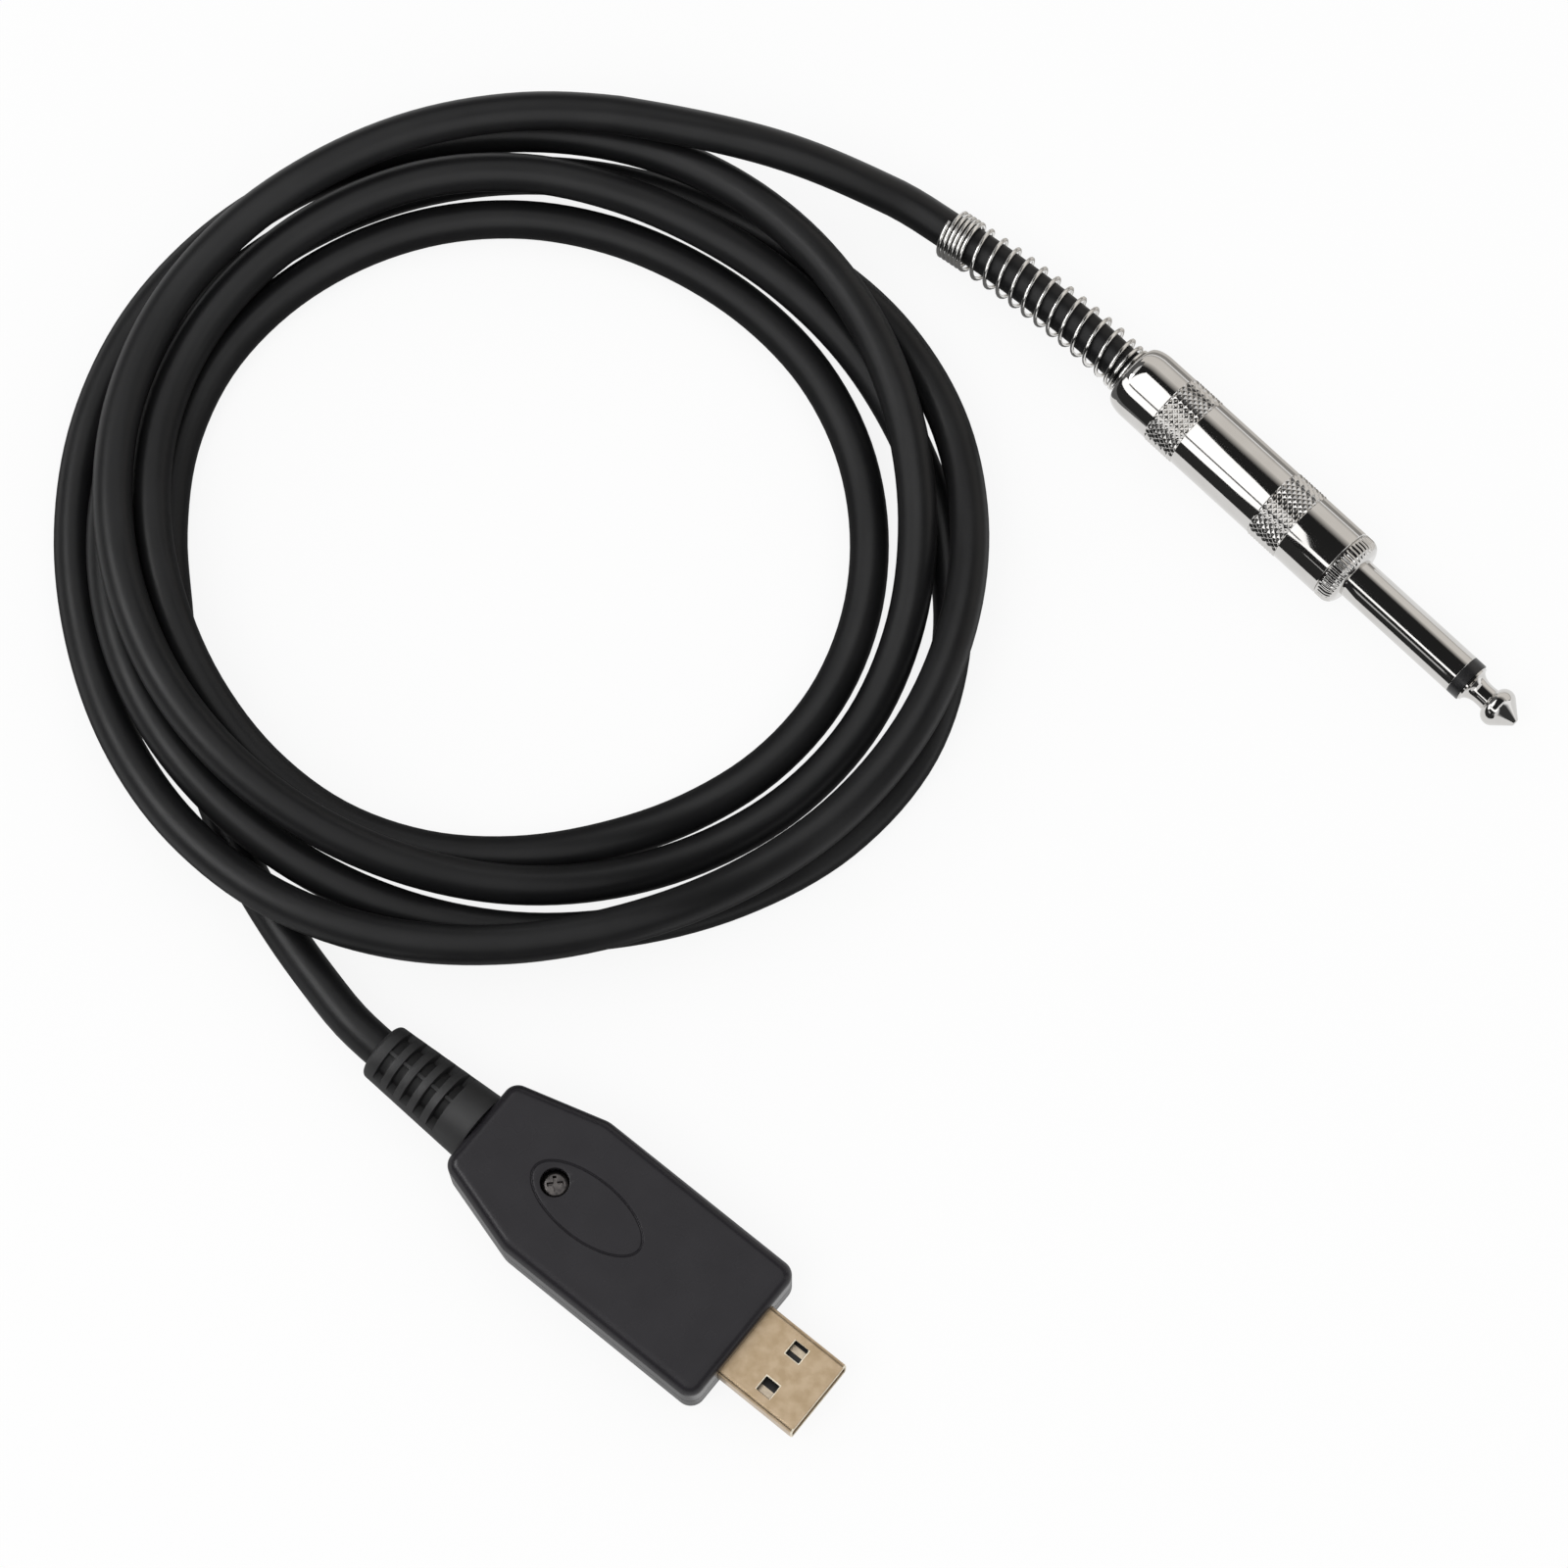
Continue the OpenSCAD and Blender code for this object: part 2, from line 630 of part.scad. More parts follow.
module usb_tongue() {
    inner_w = shell_w - 2 * shell_t - 2 * fit_gap;
    inner_h = shell_h - 2 * shell_t - 2 * fit_gap;
    tongue_len = shell_in + shell_out - tongue_back;
    color("#e8e6df") at_usb() difference() {
        union() {
            translate([shell_rear, -inner_w / 2 + 0.4, split_z - inner_h / 2])
                cube([tongue_base_len, inner_w - 0.8, inner_h]);
            translate([shell_rear, -inner_w / 2 + 0.4, split_z - tongue_h])
                cube([tongue_len, inner_w - 0.8, tongue_h]);
        }
        for (y = contact_offsets)
            translate([shell_rear - 1, y - contact_w / 2 - fit_gap, split_z])
                cube([tongue_base_len + 2, contact_w + 2 * fit_gap, contact_t + fit_gap]);
    }
}

module usb_contacts() {
    blade_len = shell_in + shell_out - tongue_back - contact_back + contact_tail;
    color("#c9a24a") at_usb() for (y = contact_offsets)
        translate([shell_rear - contact_tail, y - contact_w / 2, split_z])
            cube([blade_len, contact_w, contact_t]);
}

module circuit_board() {
    color("#1f5c3a") at_usb() translate([board_rear, -board_w / 2, board_bottom])
        cube([board_len, board_w, board_t]);
}

module codec_chip() {
    color("#1c1c1e") at_usb() translate([chip_x - chip_w / 2, -chip_w / 2, split_z])
        cube([chip_w, chip_w, chip_h]);
}

module crystal_can() {
    l = crystal_len / 2;
    w = crystal_w / 2;
    r = 0.8 * w;
    color("#b9bcc0") at_usb() translate([crystal_x, crystal_y, split_z]) linear_extrude(1.3)
        polygon(rounded([[-l, -w, r], [l, -w, r], [l, w, r], [-l, w, r]]));
}

// Capacitors in two rows beside the chip
module board_capacitors() {
    row_y = chip_w / 2 + 1.2;
    first_x = chip_x - chip_w / 2;
    last_x = min(chip_x + chip_w / 2, crystal_x - crystal_len / 2 - 0.2) - cap_len;
    color("#8a6a4a") at_usb() {
        for (x = [first_x:cap_pitch:contact_land - cap_len])
            translate([x, -row_y - cap_w, split_z]) cube([cap_len, cap_w, cap_w]);
        for (x = [first_x:cap_pitch:last_x])
            translate([x, row_y, split_z]) cube([cap_len, cap_w, cap_w]);
    }
}

// A wire from the cord's stripped end to its pad on the circuit board, round the screw's boss
module board_wire(side, d) {
    lane = boss_d / 2 + d / 2 + 0.8;
    start = side * (conductor_d / 2 + 0.1);
    landing = d / 2 + fit_gap;
    path = [for (p = [[jacket_end_x, start, 0], [jacket_end_x + 1.5, start, 0],
        [screw_x - 4, side * lane * 0.8, 0.2], [screw_x - 1, side * lane, 0.6],
        [screw_x + 2, side * lane, 1.2], [board_rear + 0.8, side * lane, landing + 0.5],
        [board_rear + 2, side * lane, landing], [board_rear + 4, side * lane, landing]])
        usb_point(p)];
    cord(path, d, lead_sides);
}

module usb_core_wire() {
    color("#b8322c") board_wire(1, conductor_d);
}

module usb_shield_wire() {
    color("#b87442") board_wire(-1, shield_d);
}

// Profile of the strain relief: a rounded collar at the cord end and a slow swell to the root
module relief_profile() {
    tip_r = relief_tip_d / 2;
    root_r = relief_root_d / 2;
    polygon(concat([[cord_bore / 2, 0]],
        [for (a = [0:15:90]) [tip_r - relief_round * (1 - sin(a)), relief_round * (1 - cos(a))]],
        [[root_r, relief_len - 0.4], [root_r, relief_len], [cord_bore / 2, relief_len]]));
}

module strain_relief() {
    color("#222124") at_usb() translate([0, 0, split_z]) difference() {
        union() {
            translate([relief_start, 0, 0]) rotate([0, 90, 0]) rotate_extrude($fn = fine) relief_profile();
            translate([rear_x - skin, 0, 0]) rotate([0, 90, 0])
                cylinder(d = neck_d, h = housing_wall + flange_t + skin, $fn = fine);
            translate([relief_end - flange_t + fit_gap, -flange_w / 2, -cavity_h / 2 + fit_gap])
                cube([flange_t - fit_gap, flange_w, cavity_h - 2 * fit_gap]);
        }
        translate([relief_start - 1, 0, 0]) rotate([0, 90, 0])
            cylinder(d = cord_bore, h = relief_len + 10, $fn = fine);
        for (k = [0:slot_count - 1], half = [0, 180])
            translate([relief_start + first_slot + k * slot_pitch - slot_w / 2, 0, 0])
                rotate([0, 90, 0]) rotate([0, 0, half + 180 - slot_lean - slot_angle / 2])
                    rotate_extrude(angle = slot_angle, $fn = fine)
                        translate([slot_floor_d / 2, 0]) square([relief_root_d, slot_w]);
    }
}

// ---- Cord ----

module cable_usb_lead() {
    color("#1f1e20") cord(usb_lead_path, cord_d, lead_sides);
}

module cable_coil() {
    whole = concat([for (i = [len(jack_lead_path) - 1:-1:1]) jack_lead_path[i]], coil_path,
        [for (i = [1:len(usb_lead_path) - 1]) usb_lead_path[i]]);
    echo(cord_length = path_length(whole));
    echo(least_cord_gap = least_gap(sampled(whole), cord_d, samples * rings_per_loop / 2));
    color("#1f1e20") cord(coil_path, cord_d, coil_sides);
}

module cable_jack_lead() {
    color("#1f1e20") cord(jack_lead_path, cord_d, lead_sides);
}

// ---- Quarter inch plug ----

module spring_guard() {
    echo(least_spring_gap = least_gap(sampled(guard_path), wire_d, samples * rings_per_turn / 2));
    color("#cfd1d4") translate([jack_place.x, jack_place.y, jack_z]) rotate([0, 0, jack_angle])
        tube(guard_path, wire_d / 2, wire_sides, guard_refs);
}

// Profile of the barrel: rounded rear shoulder, two raised bands, bore and rear wall
module barrel_profile() {
    r = barrel_d / 2;
    band_r = r + knurl_raise;
    shoulder_w = r - guard_hole / 2 - rear_rim;
    polygon(concat([[guard_hole / 2, 0]],
        [for (a = [0:15:90]) [r - shoulder_w * (1 - sin(a)), shoulder_len * (1 - cos(a))]],
        [for (start = [knurl_1, knurl_2]) each [[r, start - knurl_raise], [band_r, start],
            [band_r, start + knurl_w], [r, start + knurl_w + knurl_raise]]],
        [[r, barrel_len - barrel_chamfer], [r - barrel_chamfer, barrel_len],
            [barrel_bore / 2, barrel_len], [barrel_bore / 2, barrel_rear_wall],
            [guard_hole / 2, barrel_rear_wall]]));
}

module jack_barrel() {
    color("#c8cace") at_jack() rotate_extrude($fn = fine) barrel_profile();
}

module insulating_tube() {
    color("#3a3a3e") at_jack(tube_rear) pipe(tube_d, tube_bore, tube_front - tube_rear);
}

// Profile that rounds the collar's front edge
module collar_profile() {
    r = barrel_d / 2;
    polygon(concat([[0, 0], [r - 0.1, 0], [r, 0.1]],
        [for (a = [0:15:90]) [r - collar_r * (1 - cos(a)), collar_len - collar_r * (1 - sin(a))]],
        [[0, collar_len]]));
}

module jack_collar() {
    flutes = [for (k = [0:2 * flute_count - 1])
        let (r = barrel_d / 2 - (k % 2) * flute_depth, a = k * 180 / flute_count) r * [cos(a), sin(a)]];
    color("#cfd1d4") difference() {
        union() {
            at_jack(barrel_len) intersection() {
                rotate_extrude($fn = fine) collar_profile();
                linear_extrude(collar_len) polygon(flutes);
            }
            at_jack(spigot_rear) cylinder(d = spigot_d, h = spigot_len + skin, $fn = fine);
        }
        at_jack(spigot_rear - 1)
            cylinder(d = sleeve_root_d + 2 * seat_play, h = spigot_len + collar_len + 2, $fn = fine);
    }
}

module jack_sleeve() {
    color("#d6d7d9") at_jack(collar_front) rotate_extrude($fn = fine) polygon([
        [sleeve_bore / 2, spigot_rear - collar_front], [sleeve_root_d / 2, spigot_rear - collar_front],
        [sleeve_root_d / 2, 0], [sleeve_d / 2, 0], [sleeve_d / 2, sleeve_out], [sleeve_bore / 2, sleeve_out]]);
}

module cord_clamp() {
    arm_len = spigot_rear - arm_rear;
    color("#bfae86") difference() {
        union() {
            at_jack(clamp_rear) cylinder(d = clamp_ring_d, h = clamp_t, $fn = fine);
            at_jack(arm_rear) translate([clamp_arm_top, -clamp_arm_w / 2, 0])
                cube([clamp_arm_t, clamp_arm_w, arm_len]);
            for (s = fingers) at_jack(s) rotate([0, 0, -finger_angle / 2])
                rotate_extrude(angle = finger_angle, $fn = fine)
                    translate([clamp_bore / 2, 0]) square([clamp_wall, finger_len]);
        }
        at_jack(clamp_rear - 1) cylinder(d = sleeve_bore, h = clamp_t + 2, $fn = fine);
    }
}

module tip_insulator() {
    color("#161617") at_jack(ring_rear) {
        pipe(sleeve_d, lining_bore, ring_w);
        translate([0, 0, -lining_len]) pipe(lining_d, lining_bore, lining_len + skin);
    }
}

module rear_insulator() {
    color("#7c4a2c") at_jack(washer_rear) {
        pipe(washer_d, lining_bore, flange_len);
        pipe(lining_d, lining_bore, flange_len + clamp_t + ring_rear - spigot_rear - lining_len);
    }
}

// Profile of the tip contact: a flange that sweeps down to the neck, then the bulb and the point
module tip_profile() {
    flange_r = sleeve_d / 2 - 0.3;
    flange_t = 0.4;
    neck_r = 1.75;
    flare_len = 2;
    neck_end = 3.1;
    bulb_r = 3;
    bulb_at = 5.2;
    bulb_turn = 1.6;
    point_r = 0.75;
    polygon(concat([[0, 0], [flange_r, 0]],
        [for (a = [0:15:90])
            [flange_r - (flange_r - neck_r) * sin(a), flange_t + flare_len * (1 - cos(a))]],
        [[neck_r, neck_end]],
        [for (a = [75:-15:-45]) [bulb_r - bulb_turn * (1 - cos(a)), bulb_at - bulb_turn * sin(a)]],
        [[point_r, tip_len - 0.35], [point_r - 0.35, tip_len], [0, tip_len]]));
}

module jack_tip() {
    color("#d6d7d9") {
        at_jack(tip_rear) rotate_extrude($fn = fine) tip_profile();
        at_jack(rivet_rear) cylinder(d = rivet_d, h = rivet_len, $fn = fine);
        at_jack(rivet_rear) cylinder(d = rod_d, h = tip_rear - rivet_rear + skin, $fn = fine);
    }
}

module tip_terminal() {
    color("#bfae86") difference() {
        union() {
            at_jack(terminal_rear) cylinder(d = terminal_d, h = terminal_t, $fn = fine);
            at_jack(terminal_rear - terminal_tab_len) translate([-tab_z - terminal_t, -terminal_tab_w / 2, 0])
                cube([terminal_t, terminal_tab_w, terminal_tab_len + terminal_t]);
        }
        at_jack(terminal_rear - 1) cylinder(d = lining_bore, h = terminal_t + 2, $fn = fine);
    }
}

// A wire from the cord's stripped end to a level z where it is soldered
module plug_wire(z0, z1, d, reach) {
    mid = (z0 + z1) / 2;
    path = [for (p = [[jacket_end, 0, z0], [jacket_end + 1.5, 0, z0], [jacket_end + 3.5, 0, mid],
        [jacket_end + 5.5, 0, z1], [jacket_end + 7, 0, z1], [reach, 0, z1]]) jack_point(p)];
    cord(path, d, lead_sides);
}

module jack_core_wire() {
    top = tab_z + terminal_t + conductor_d / 2 + fit_gap;
    color("#b8322c") plug_wire(0.9, top, conductor_d, terminal_rear - terminal_tab_len + 4);
}

module jack_shield_wire() {
    low = -clamp_arm_top + shield_d / 2 + fit_gap;
    color("#b87442") plug_wire(-1.4, low, shield_d, jacket_end + 9);
}

housing_top();
housing_bottom();
housing_screw();
usb_shell();
usb_tongue();
usb_contacts();
circuit_board();
codec_chip();
crystal_can();
board_capacitors();
usb_core_wire();
usb_shield_wire();
strain_relief();
cable_usb_lead();
cable_coil();
cable_jack_lead();
spring_guard();
jack_barrel();
insulating_tube();
jack_collar();
jack_sleeve();
cord_clamp();
tip_insulator();
rear_insulator();
jack_tip();
tip_terminal();
jack_core_wire();
jack_shield_wire();
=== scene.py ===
# %% [markdown]
# # An instrument cable in Blender
# The cable lies in a loose coil of four and a half loops. One end is a USB plug with a small audio
# interface in its housing, the other a quarter inch plug with a spring guard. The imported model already
# holds every piece at its real size. This file loads it, keeps what is right and makes finer meshes and
# real finishes for all that shows.

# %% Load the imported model
import json
import math

import bmesh
import bpy
from mathutils import Matrix, Vector


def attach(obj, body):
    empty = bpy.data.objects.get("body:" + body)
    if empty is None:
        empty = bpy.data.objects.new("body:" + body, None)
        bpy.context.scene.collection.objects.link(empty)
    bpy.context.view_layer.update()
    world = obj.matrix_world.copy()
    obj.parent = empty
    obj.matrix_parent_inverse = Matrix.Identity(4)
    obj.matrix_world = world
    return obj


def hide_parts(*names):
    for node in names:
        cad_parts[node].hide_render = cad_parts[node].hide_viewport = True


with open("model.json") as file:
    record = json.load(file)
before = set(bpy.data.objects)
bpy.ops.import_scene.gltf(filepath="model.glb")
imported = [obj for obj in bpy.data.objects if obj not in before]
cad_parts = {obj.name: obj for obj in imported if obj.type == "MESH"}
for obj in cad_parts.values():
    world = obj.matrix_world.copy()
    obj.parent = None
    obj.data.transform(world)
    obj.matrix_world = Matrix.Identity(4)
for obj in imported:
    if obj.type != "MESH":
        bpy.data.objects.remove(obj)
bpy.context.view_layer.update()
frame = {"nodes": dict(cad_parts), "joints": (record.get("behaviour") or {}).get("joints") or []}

MM = 0.001
scene = bpy.context.scene
scene.view_settings.view_transform = "Standard"

# %% [markdown]
# ## The camera
# It looks down on the table from the front at 73 degrees. A long lens from two thirds of a metre keeps
# the coil from looking stretched, as a product photographer would choose.

# %% Camera
LOOK_AT = Vector((23.7, 65.8, 3.0)) * MM
CAMERA_DISTANCE = 652 * MM
CAMERA_RISE = math.radians(73)
camera = bpy.data.objects.new("camera", bpy.data.cameras.new("camera"))
camera.data.lens = 105
camera.data.sensor_width = 36
camera.data.clip_start = 0.01
camera.location = LOOK_AT + CAMERA_DISTANCE * Vector((0, -math.cos(CAMERA_RISE), math.sin(CAMERA_RISE)))
camera.rotation_euler = (math.pi / 2 - CAMERA_RISE, 0, 0)
scene.collection.objects.link(camera)
scene.camera = camera
print("camera at", [round(x, 3) for x in camera.location])

# %% [markdown]
# ## Sums inside node trees
# Node trees hold formulas as chains of Math nodes. A small class lets Python's own signs add those
# nodes, so a formula in a tree reads as it would on paper. It serves geometry and materials alike.

# %% Formulas as nodes
def feed(tree, socket, term):
    """Gives a socket another node's number, or a plain value."""
    if isinstance(term, Term):
        tree.links.new(term.socket, socket)
    else:
        socket.default_value = term


class Term:
    """A number that a node tree works out."""

    def __init__(self, tree, socket):
        self.tree = tree
        self.socket = socket

    def maths(self, operation, *others, first=None):
        node = self.tree.nodes.new("ShaderNodeMath")
        node.operation = operation
        for socket, term in zip(node.inputs, (self if first is None else first, *others)):
            feed(self.tree, socket, term)
        return Term(self.tree, node.outputs[0])

    def __add__(self, other):
        return self.maths("ADD", other)

    def __sub__(self, other):
        return self.maths("SUBTRACT", other)

    def __rsub__(self, other):
        return self.maths("SUBTRACT", self, first=other)

    def __mul__(self, other):
        return self.maths("MULTIPLY", other)

    def __truediv__(self, other):
        return self.maths("DIVIDE", other)

    __radd__ = __add__
    __rmul__ = __mul__

    def at_least(self, other):
        return self.maths("MAXIMUM", other)

    def at_most(self, other):
        return self.maths("MINIMUM", other)

    def over(self, other):
        """1 where this is above the other, 0 elsewhere."""
        return self.maths("GREATER_THAN", other)


def add(tree, kind, inputs=None, **settings):
    """Adds a node, sets it up and feeds its sockets, which are named or numbered."""
    node = tree.nodes.new(kind)
    for name, value in settings.items():
        setattr(node, name, value)
    for name, value in (inputs or {}).items():
        if isinstance(value, bpy.types.NodeSocket):
            tree.links.new(value, node.inputs[name])
        else:
            feed(tree, node.inputs[name], value)
    return node


def vector(tree, x=0.0, y=0.0, z=0.0):
    """The socket of a vector with these three parts."""
    return add(tree, "ShaderNodeCombineXYZ", {"X": x, "Y": y, "Z": z}).outputs[0]


def own_place(tree):
    """The three coordinates of each corner."""
    parts = add(tree, "ShaderNodeSeparateXYZ", {0: add(tree, "GeometryNodeInputPosition").outputs[0]})
    return [Term(tree, socket) for socket in parts.outputs]


def own_number(tree):
    return Term(tree, add(tree, "GeometryNodeInputIndex").outputs[0])


def moved(tree, geometry, *place):
    """The geometry with each corner moved to the place that the terms work out for it."""
    settings = {"Geometry": geometry, "Position": vector(tree, *place)}
    return add(tree, "GeometryNodeSetPosition", settings).outputs[0]


def swept(tree, curve, sides, diameter):
    """A tube with closed ends along a curve."""
    circle = add(tree, "GeometryNodeCurvePrimitiveCircle", {"Resolution": sides, "Radius": diameter / 2})
    return add(tree, "GeometryNodeCurveToMesh", {"Curve": curve, "Profile Curve": circle.outputs[0],
        "Fill Caps": True}).outputs[0]


# %% [markdown]
# ## Finishes
# Every finish is a Principled shader whose colour, roughness and bump come from noise at the real
# scale of the material: blotches of a few millimetres for moulded plastic, a fine grain for its
# sparked mould, scratches for metal. One function makes them all, and each finish says its own sizes.

# %% A finish with mottle, wear and grain
def stretched(tree, sizes):
    """The piece's own coordinates, counted in grains of the given size along each axis."""
    place = add(tree, "ShaderNodeTexCoord").outputs["Object"]
    node = add(tree, "ShaderNodeMapping", {"Vector": place})
    node.inputs["Scale"].default_value = [1 / (s * MM) for s in sizes]
    return node.outputs["Vector"]


def noise(tree, sizes, detail=2.0):
    node = add(tree, "ShaderNodeTexNoise", {"Vector": stretched(tree, sizes), "Scale": 1.0, "Detail": detail})
    return Term(tree, node.outputs["Fac"])


def finish(name, colour, other, rough, spread=0.06, blotch=3.0, grain=0.12, grain_depth=0.004, **fixed):
    """colour and other are mixed in blotches, rough goes up and down by spread. Sizes are in millimetres."""
    material = bpy.data.materials.new(name)
    material.use_nodes = True
    tree = material.node_tree
    shader = tree.nodes["Principled BSDF"]
    patches = noise(tree, (blotch,) * 3, 3.0)
    mix = add(tree, "ShaderNodeMix", {"Factor": (patches - 0.35) * 3.3}, data_type="RGBA")
    mix.inputs[6].default_value = (*colour, 1)
    mix.inputs[7].default_value = (*other, 1)
    tree.links.new(mix.outputs[2], shader.inputs["Base Color"])
    feed(tree, shader.inputs["Roughness"], noise(tree, (blotch * 0.6,) * 3) * (2 * spread) + (rough - spread))
    bump = add(tree, "ShaderNodeBump", {"Height": noise(tree, (grain,) * 3), "Distance": grain_depth * MM})
    tree.links.new(bump.outputs["Normal"], shader.inputs["Normal"])
    for socket, value in fixed.items():
        shader.inputs[socket.replace("_", " ")].default_value = value
    return material


JACKET = finish("cord_jacket", (0.0065, 0.0065, 0.007), (0.009, 0.009, 0.0095), 0.4,
    blotch=9, grain=0.3, grain_depth=0.004, Specular_IOR_Level=0.25)
print("first finish:", JACKET.name)

# %% [markdown]
# ## The cord
# A cord has one length, one thickness and one smooth line. Four and a half loops are given by their
# distance from the coil's centre and their height every 45 degrees, and the free stretches by points.
# Smooth blending fills in between. A tree then sweeps a circle along it. The two lists of the loops
# weren't chosen by hand: a fitting program made all their values but one, so don't take them as an
# example. Loops that a formula works out from a few sizes would be the cleaner way.

# %% The cord's line
USB_ANGLE = math.radians(-39)
JACK_ANGLE = math.radians(-45)
SPLIT = 5.5
USB = Matrix.Scale(MM, 4) @ Matrix.Rotation(USB_ANGLE, 4, "Z")
barrel_joint = next(j for j in frame["joints"] if j["name"] == "barrel_turn")
JACK = Matrix.Translation(barrel_joint["pos_m"]) @ Matrix.Scale(MM, 4) @ Matrix.Rotation(JACK_ANGLE, 4, "Z")

CORD_D = 5.7
RELIEF_START = -41.75
HOUSING_REAR = -23.75
JACKET_ENDS = (-18.75, 15.0)
COIL_CENTRE = (-14.5, 104)
COIL_START = 60
STATIONS = 8
RINGS = 24
COIL_RADIUS = [90.5, 66.3, 60.5, 60, 56.5, 54.5, 54.5, 57.5,
    57.5, 60, 63, 65.5, 64.5, 66, 63, 65,
    64, 57.5, 56.5, 59, 59.5, 59.5, 61.5, 66.5,
    58, 52.5, 55, 55, 51.5, 50.5, 48.5, 51,
    50, 48, 50, 52, 51.5, 59.5]
COIL_HEIGHT = [6, 13, 14.5, 12.5, 14, 12.5, 4.5, 3.5,
    10.5, 9.5, 4, 3, 4, 10, 10.5, 11,
    6.5, 3.5, 3, 3.5, 8.5, 8.5, 3.5, 3,
    3.5, 8, 9, 8.5, 10, 4, 3, 3,
    3, 3, 3, 3, 3, 4]
USB_LEAD = [(-60.5, 74, 3), (-57, 63, 3), (-52.5, 53, 3), (-47, 44, 3.2), (-41.5, 36.3, 4.2),
    (-36.8, 30.4, 5.2)]
JACK_LEAD = [(30.1, 158.2, 11.2), (36.1, 156.2, 8.9), (42.2, 153.8, 6.8)]
STUB = 1.5
GUARD_BEND = 200
GUARD_START = -35
# Places along the plug, and how far to one side the cord lies there inside the spring
CORD_SHIFTS = [(JACKET_ENDS[1], 0), (JACKET_ENDS[1] / 2, 0), (0, 0.05), (-8.75, 0.3), (-17.5, 0.35),
    (-26.25, 0.4), (GUARD_START, 0.4)]
LINE_STEP = 2.2
EASED_STRETCH = (26, 46)
EASINGS = 20


def blend(values, u):
    """A smooth value between the stations of a list, at place u counted in stations."""
    i = min(int(u), len(values) - 3)
    t = u - i
    a, b, c, d = values[i - 1:i + 3]
    return (b + (c - a) * t / 2 + (2 * a - 5 * b + 4 * c - d) * t * t / 2
        + (3 * b - a - 3 * c + d) * t ** 3 / 2)


def coil_point(k):
    u = 1 + k * STATIONS / RINGS
    angle = math.radians(COIL_START + k * 360 / RINGS)
    r = blend(COIL_RADIUS, u)
    return MM * Vector((COIL_CENTRE[0] + r * math.cos(angle), COIL_CENTRE[1] + r * math.sin(angle),
        blend(COIL_HEIGHT, u)))


def guard_axis(s):
    """The middle of the spring guard: bent with the cord behind the barrel, straight inside it."""
    a = max(-s, 0) / GUARD_BEND
    return Vector((-GUARD_BEND * math.sin(a) if s < 0 else s, -GUARD_BEND * (1 - math.cos(a)), 0))


coil = [coil_point(k) for k in range((len(COIL_RADIUS) - 3) * RINGS // STATIONS + 1)]
jack_stub = coil[0] + (coil[0] - coil[1]).normalized() * STUB * MM
usb_stub = coil[-1] + (coil[-1] - coil[-2]).normalized() * STUB * MM
jack_end = [JACK @ (guard_axis(s) + Vector((0, shift, 0))) for s, shift in CORD_SHIFTS]
usb_end = [USB @ Vector((x, 0, SPLIT)) for x in
    (RELIEF_START, (RELIEF_START + HOUSING_REAR) / 2, HOUSING_REAR, JACKET_ENDS[0])]
route = [*jack_end, *[MM * Vector(p) for p in reversed(JACK_LEAD)], jack_stub, *coil, usb_stub,
    *[MM * Vector(p) for p in USB_LEAD], *usb_end]


def smooth_line(points, step):
    """A smooth line through points that may be unevenly spaced, with a new point about every step."""
    ends = [2 * points[0] - points[1], *points, 2 * points[-1] - points[-2]]
    line = []
    for a, b, c, d in zip(ends, ends[1:], ends[2:], ends[3:]):
        before, here, after = (b - a).length, (c - b).length, (d - c).length
        leave = ((c - b) * before / here + (b - a) * here / before) / (before + here) * here
        reach = ((d - c) * here / after + (c - b) * after / here) / (here + after) * here
        count = max(1, round(here / step))
        for k in range(count):
            t = k / count
            line.append((2 * t ** 3 - 3 * t * t + 1) * b + (t ** 3 - 2 * t * t + t) * leave
                + (3 * t * t - 2 * t ** 3) * c + (t ** 3 - t * t) * reach)
    return [*line, points[-1]]


def eased(line, low, high, passes):
    """The line with the corners of one stretch, given by numbers of points, averaged away."""
    for _ in range(passes):
        line = [(line[i - 1] + 2 * p + line[i + 1]) / 4 if low < i < high else p
            for i, p in enumerate(line)]
    return line


cord_line = eased(smooth_line(route, LINE_STEP * MM), *EASED_STRETCH, EASINGS)
cord_length = sum((b - a).length for a, b in zip(cord_line, cord_line[1:]))
print(f"route points {len(route)}, line points {len(cord_line)}, cord length {cord_length:.3f} m")

# %% [markdown]
# A tree is built once and then run on an object. Its sizes are named inputs, which are set by the
# socket's identifier before the object is first worked out. The result is copied into a plain mesh.

# %% Trees with named sizes
def new_tree(name, sizes):
    """An empty tree with a geometry input and one named input for each size, and its input node."""
    tree = bpy.data.node_groups.new(name, "GeometryNodeTree")
    tree.interface.new_socket("Geometry", in_out="INPUT", socket_type="NodeSocketGeometry")
    tree.interface.new_socket("Geometry", in_out="OUTPUT", socket_type="NodeSocketGeometry")
    for label, value in sizes.items():
        kind = "NodeSocketInt" if isinstance(value, int) else "NodeSocketFloat"
        tree.interface.new_socket(label, in_out="INPUT", socket_type=kind)
    given = tree.nodes.new("NodeGroupInput")
    return tree, given, {label: Term(tree, given.outputs[label]) for label in sizes}


def close_tree(tree, geometry, material):
    whole = add(tree, "GeometryNodeRealizeInstances", {"Geometry": geometry})
    painted = add(tree, "GeometryNodeSetMaterial", {"Geometry": whole.outputs[0]})
    painted.inputs["Material"].default_value = material
    tree.links.new(painted.outputs[0], tree.nodes.new("NodeGroupOutput").inputs[0])


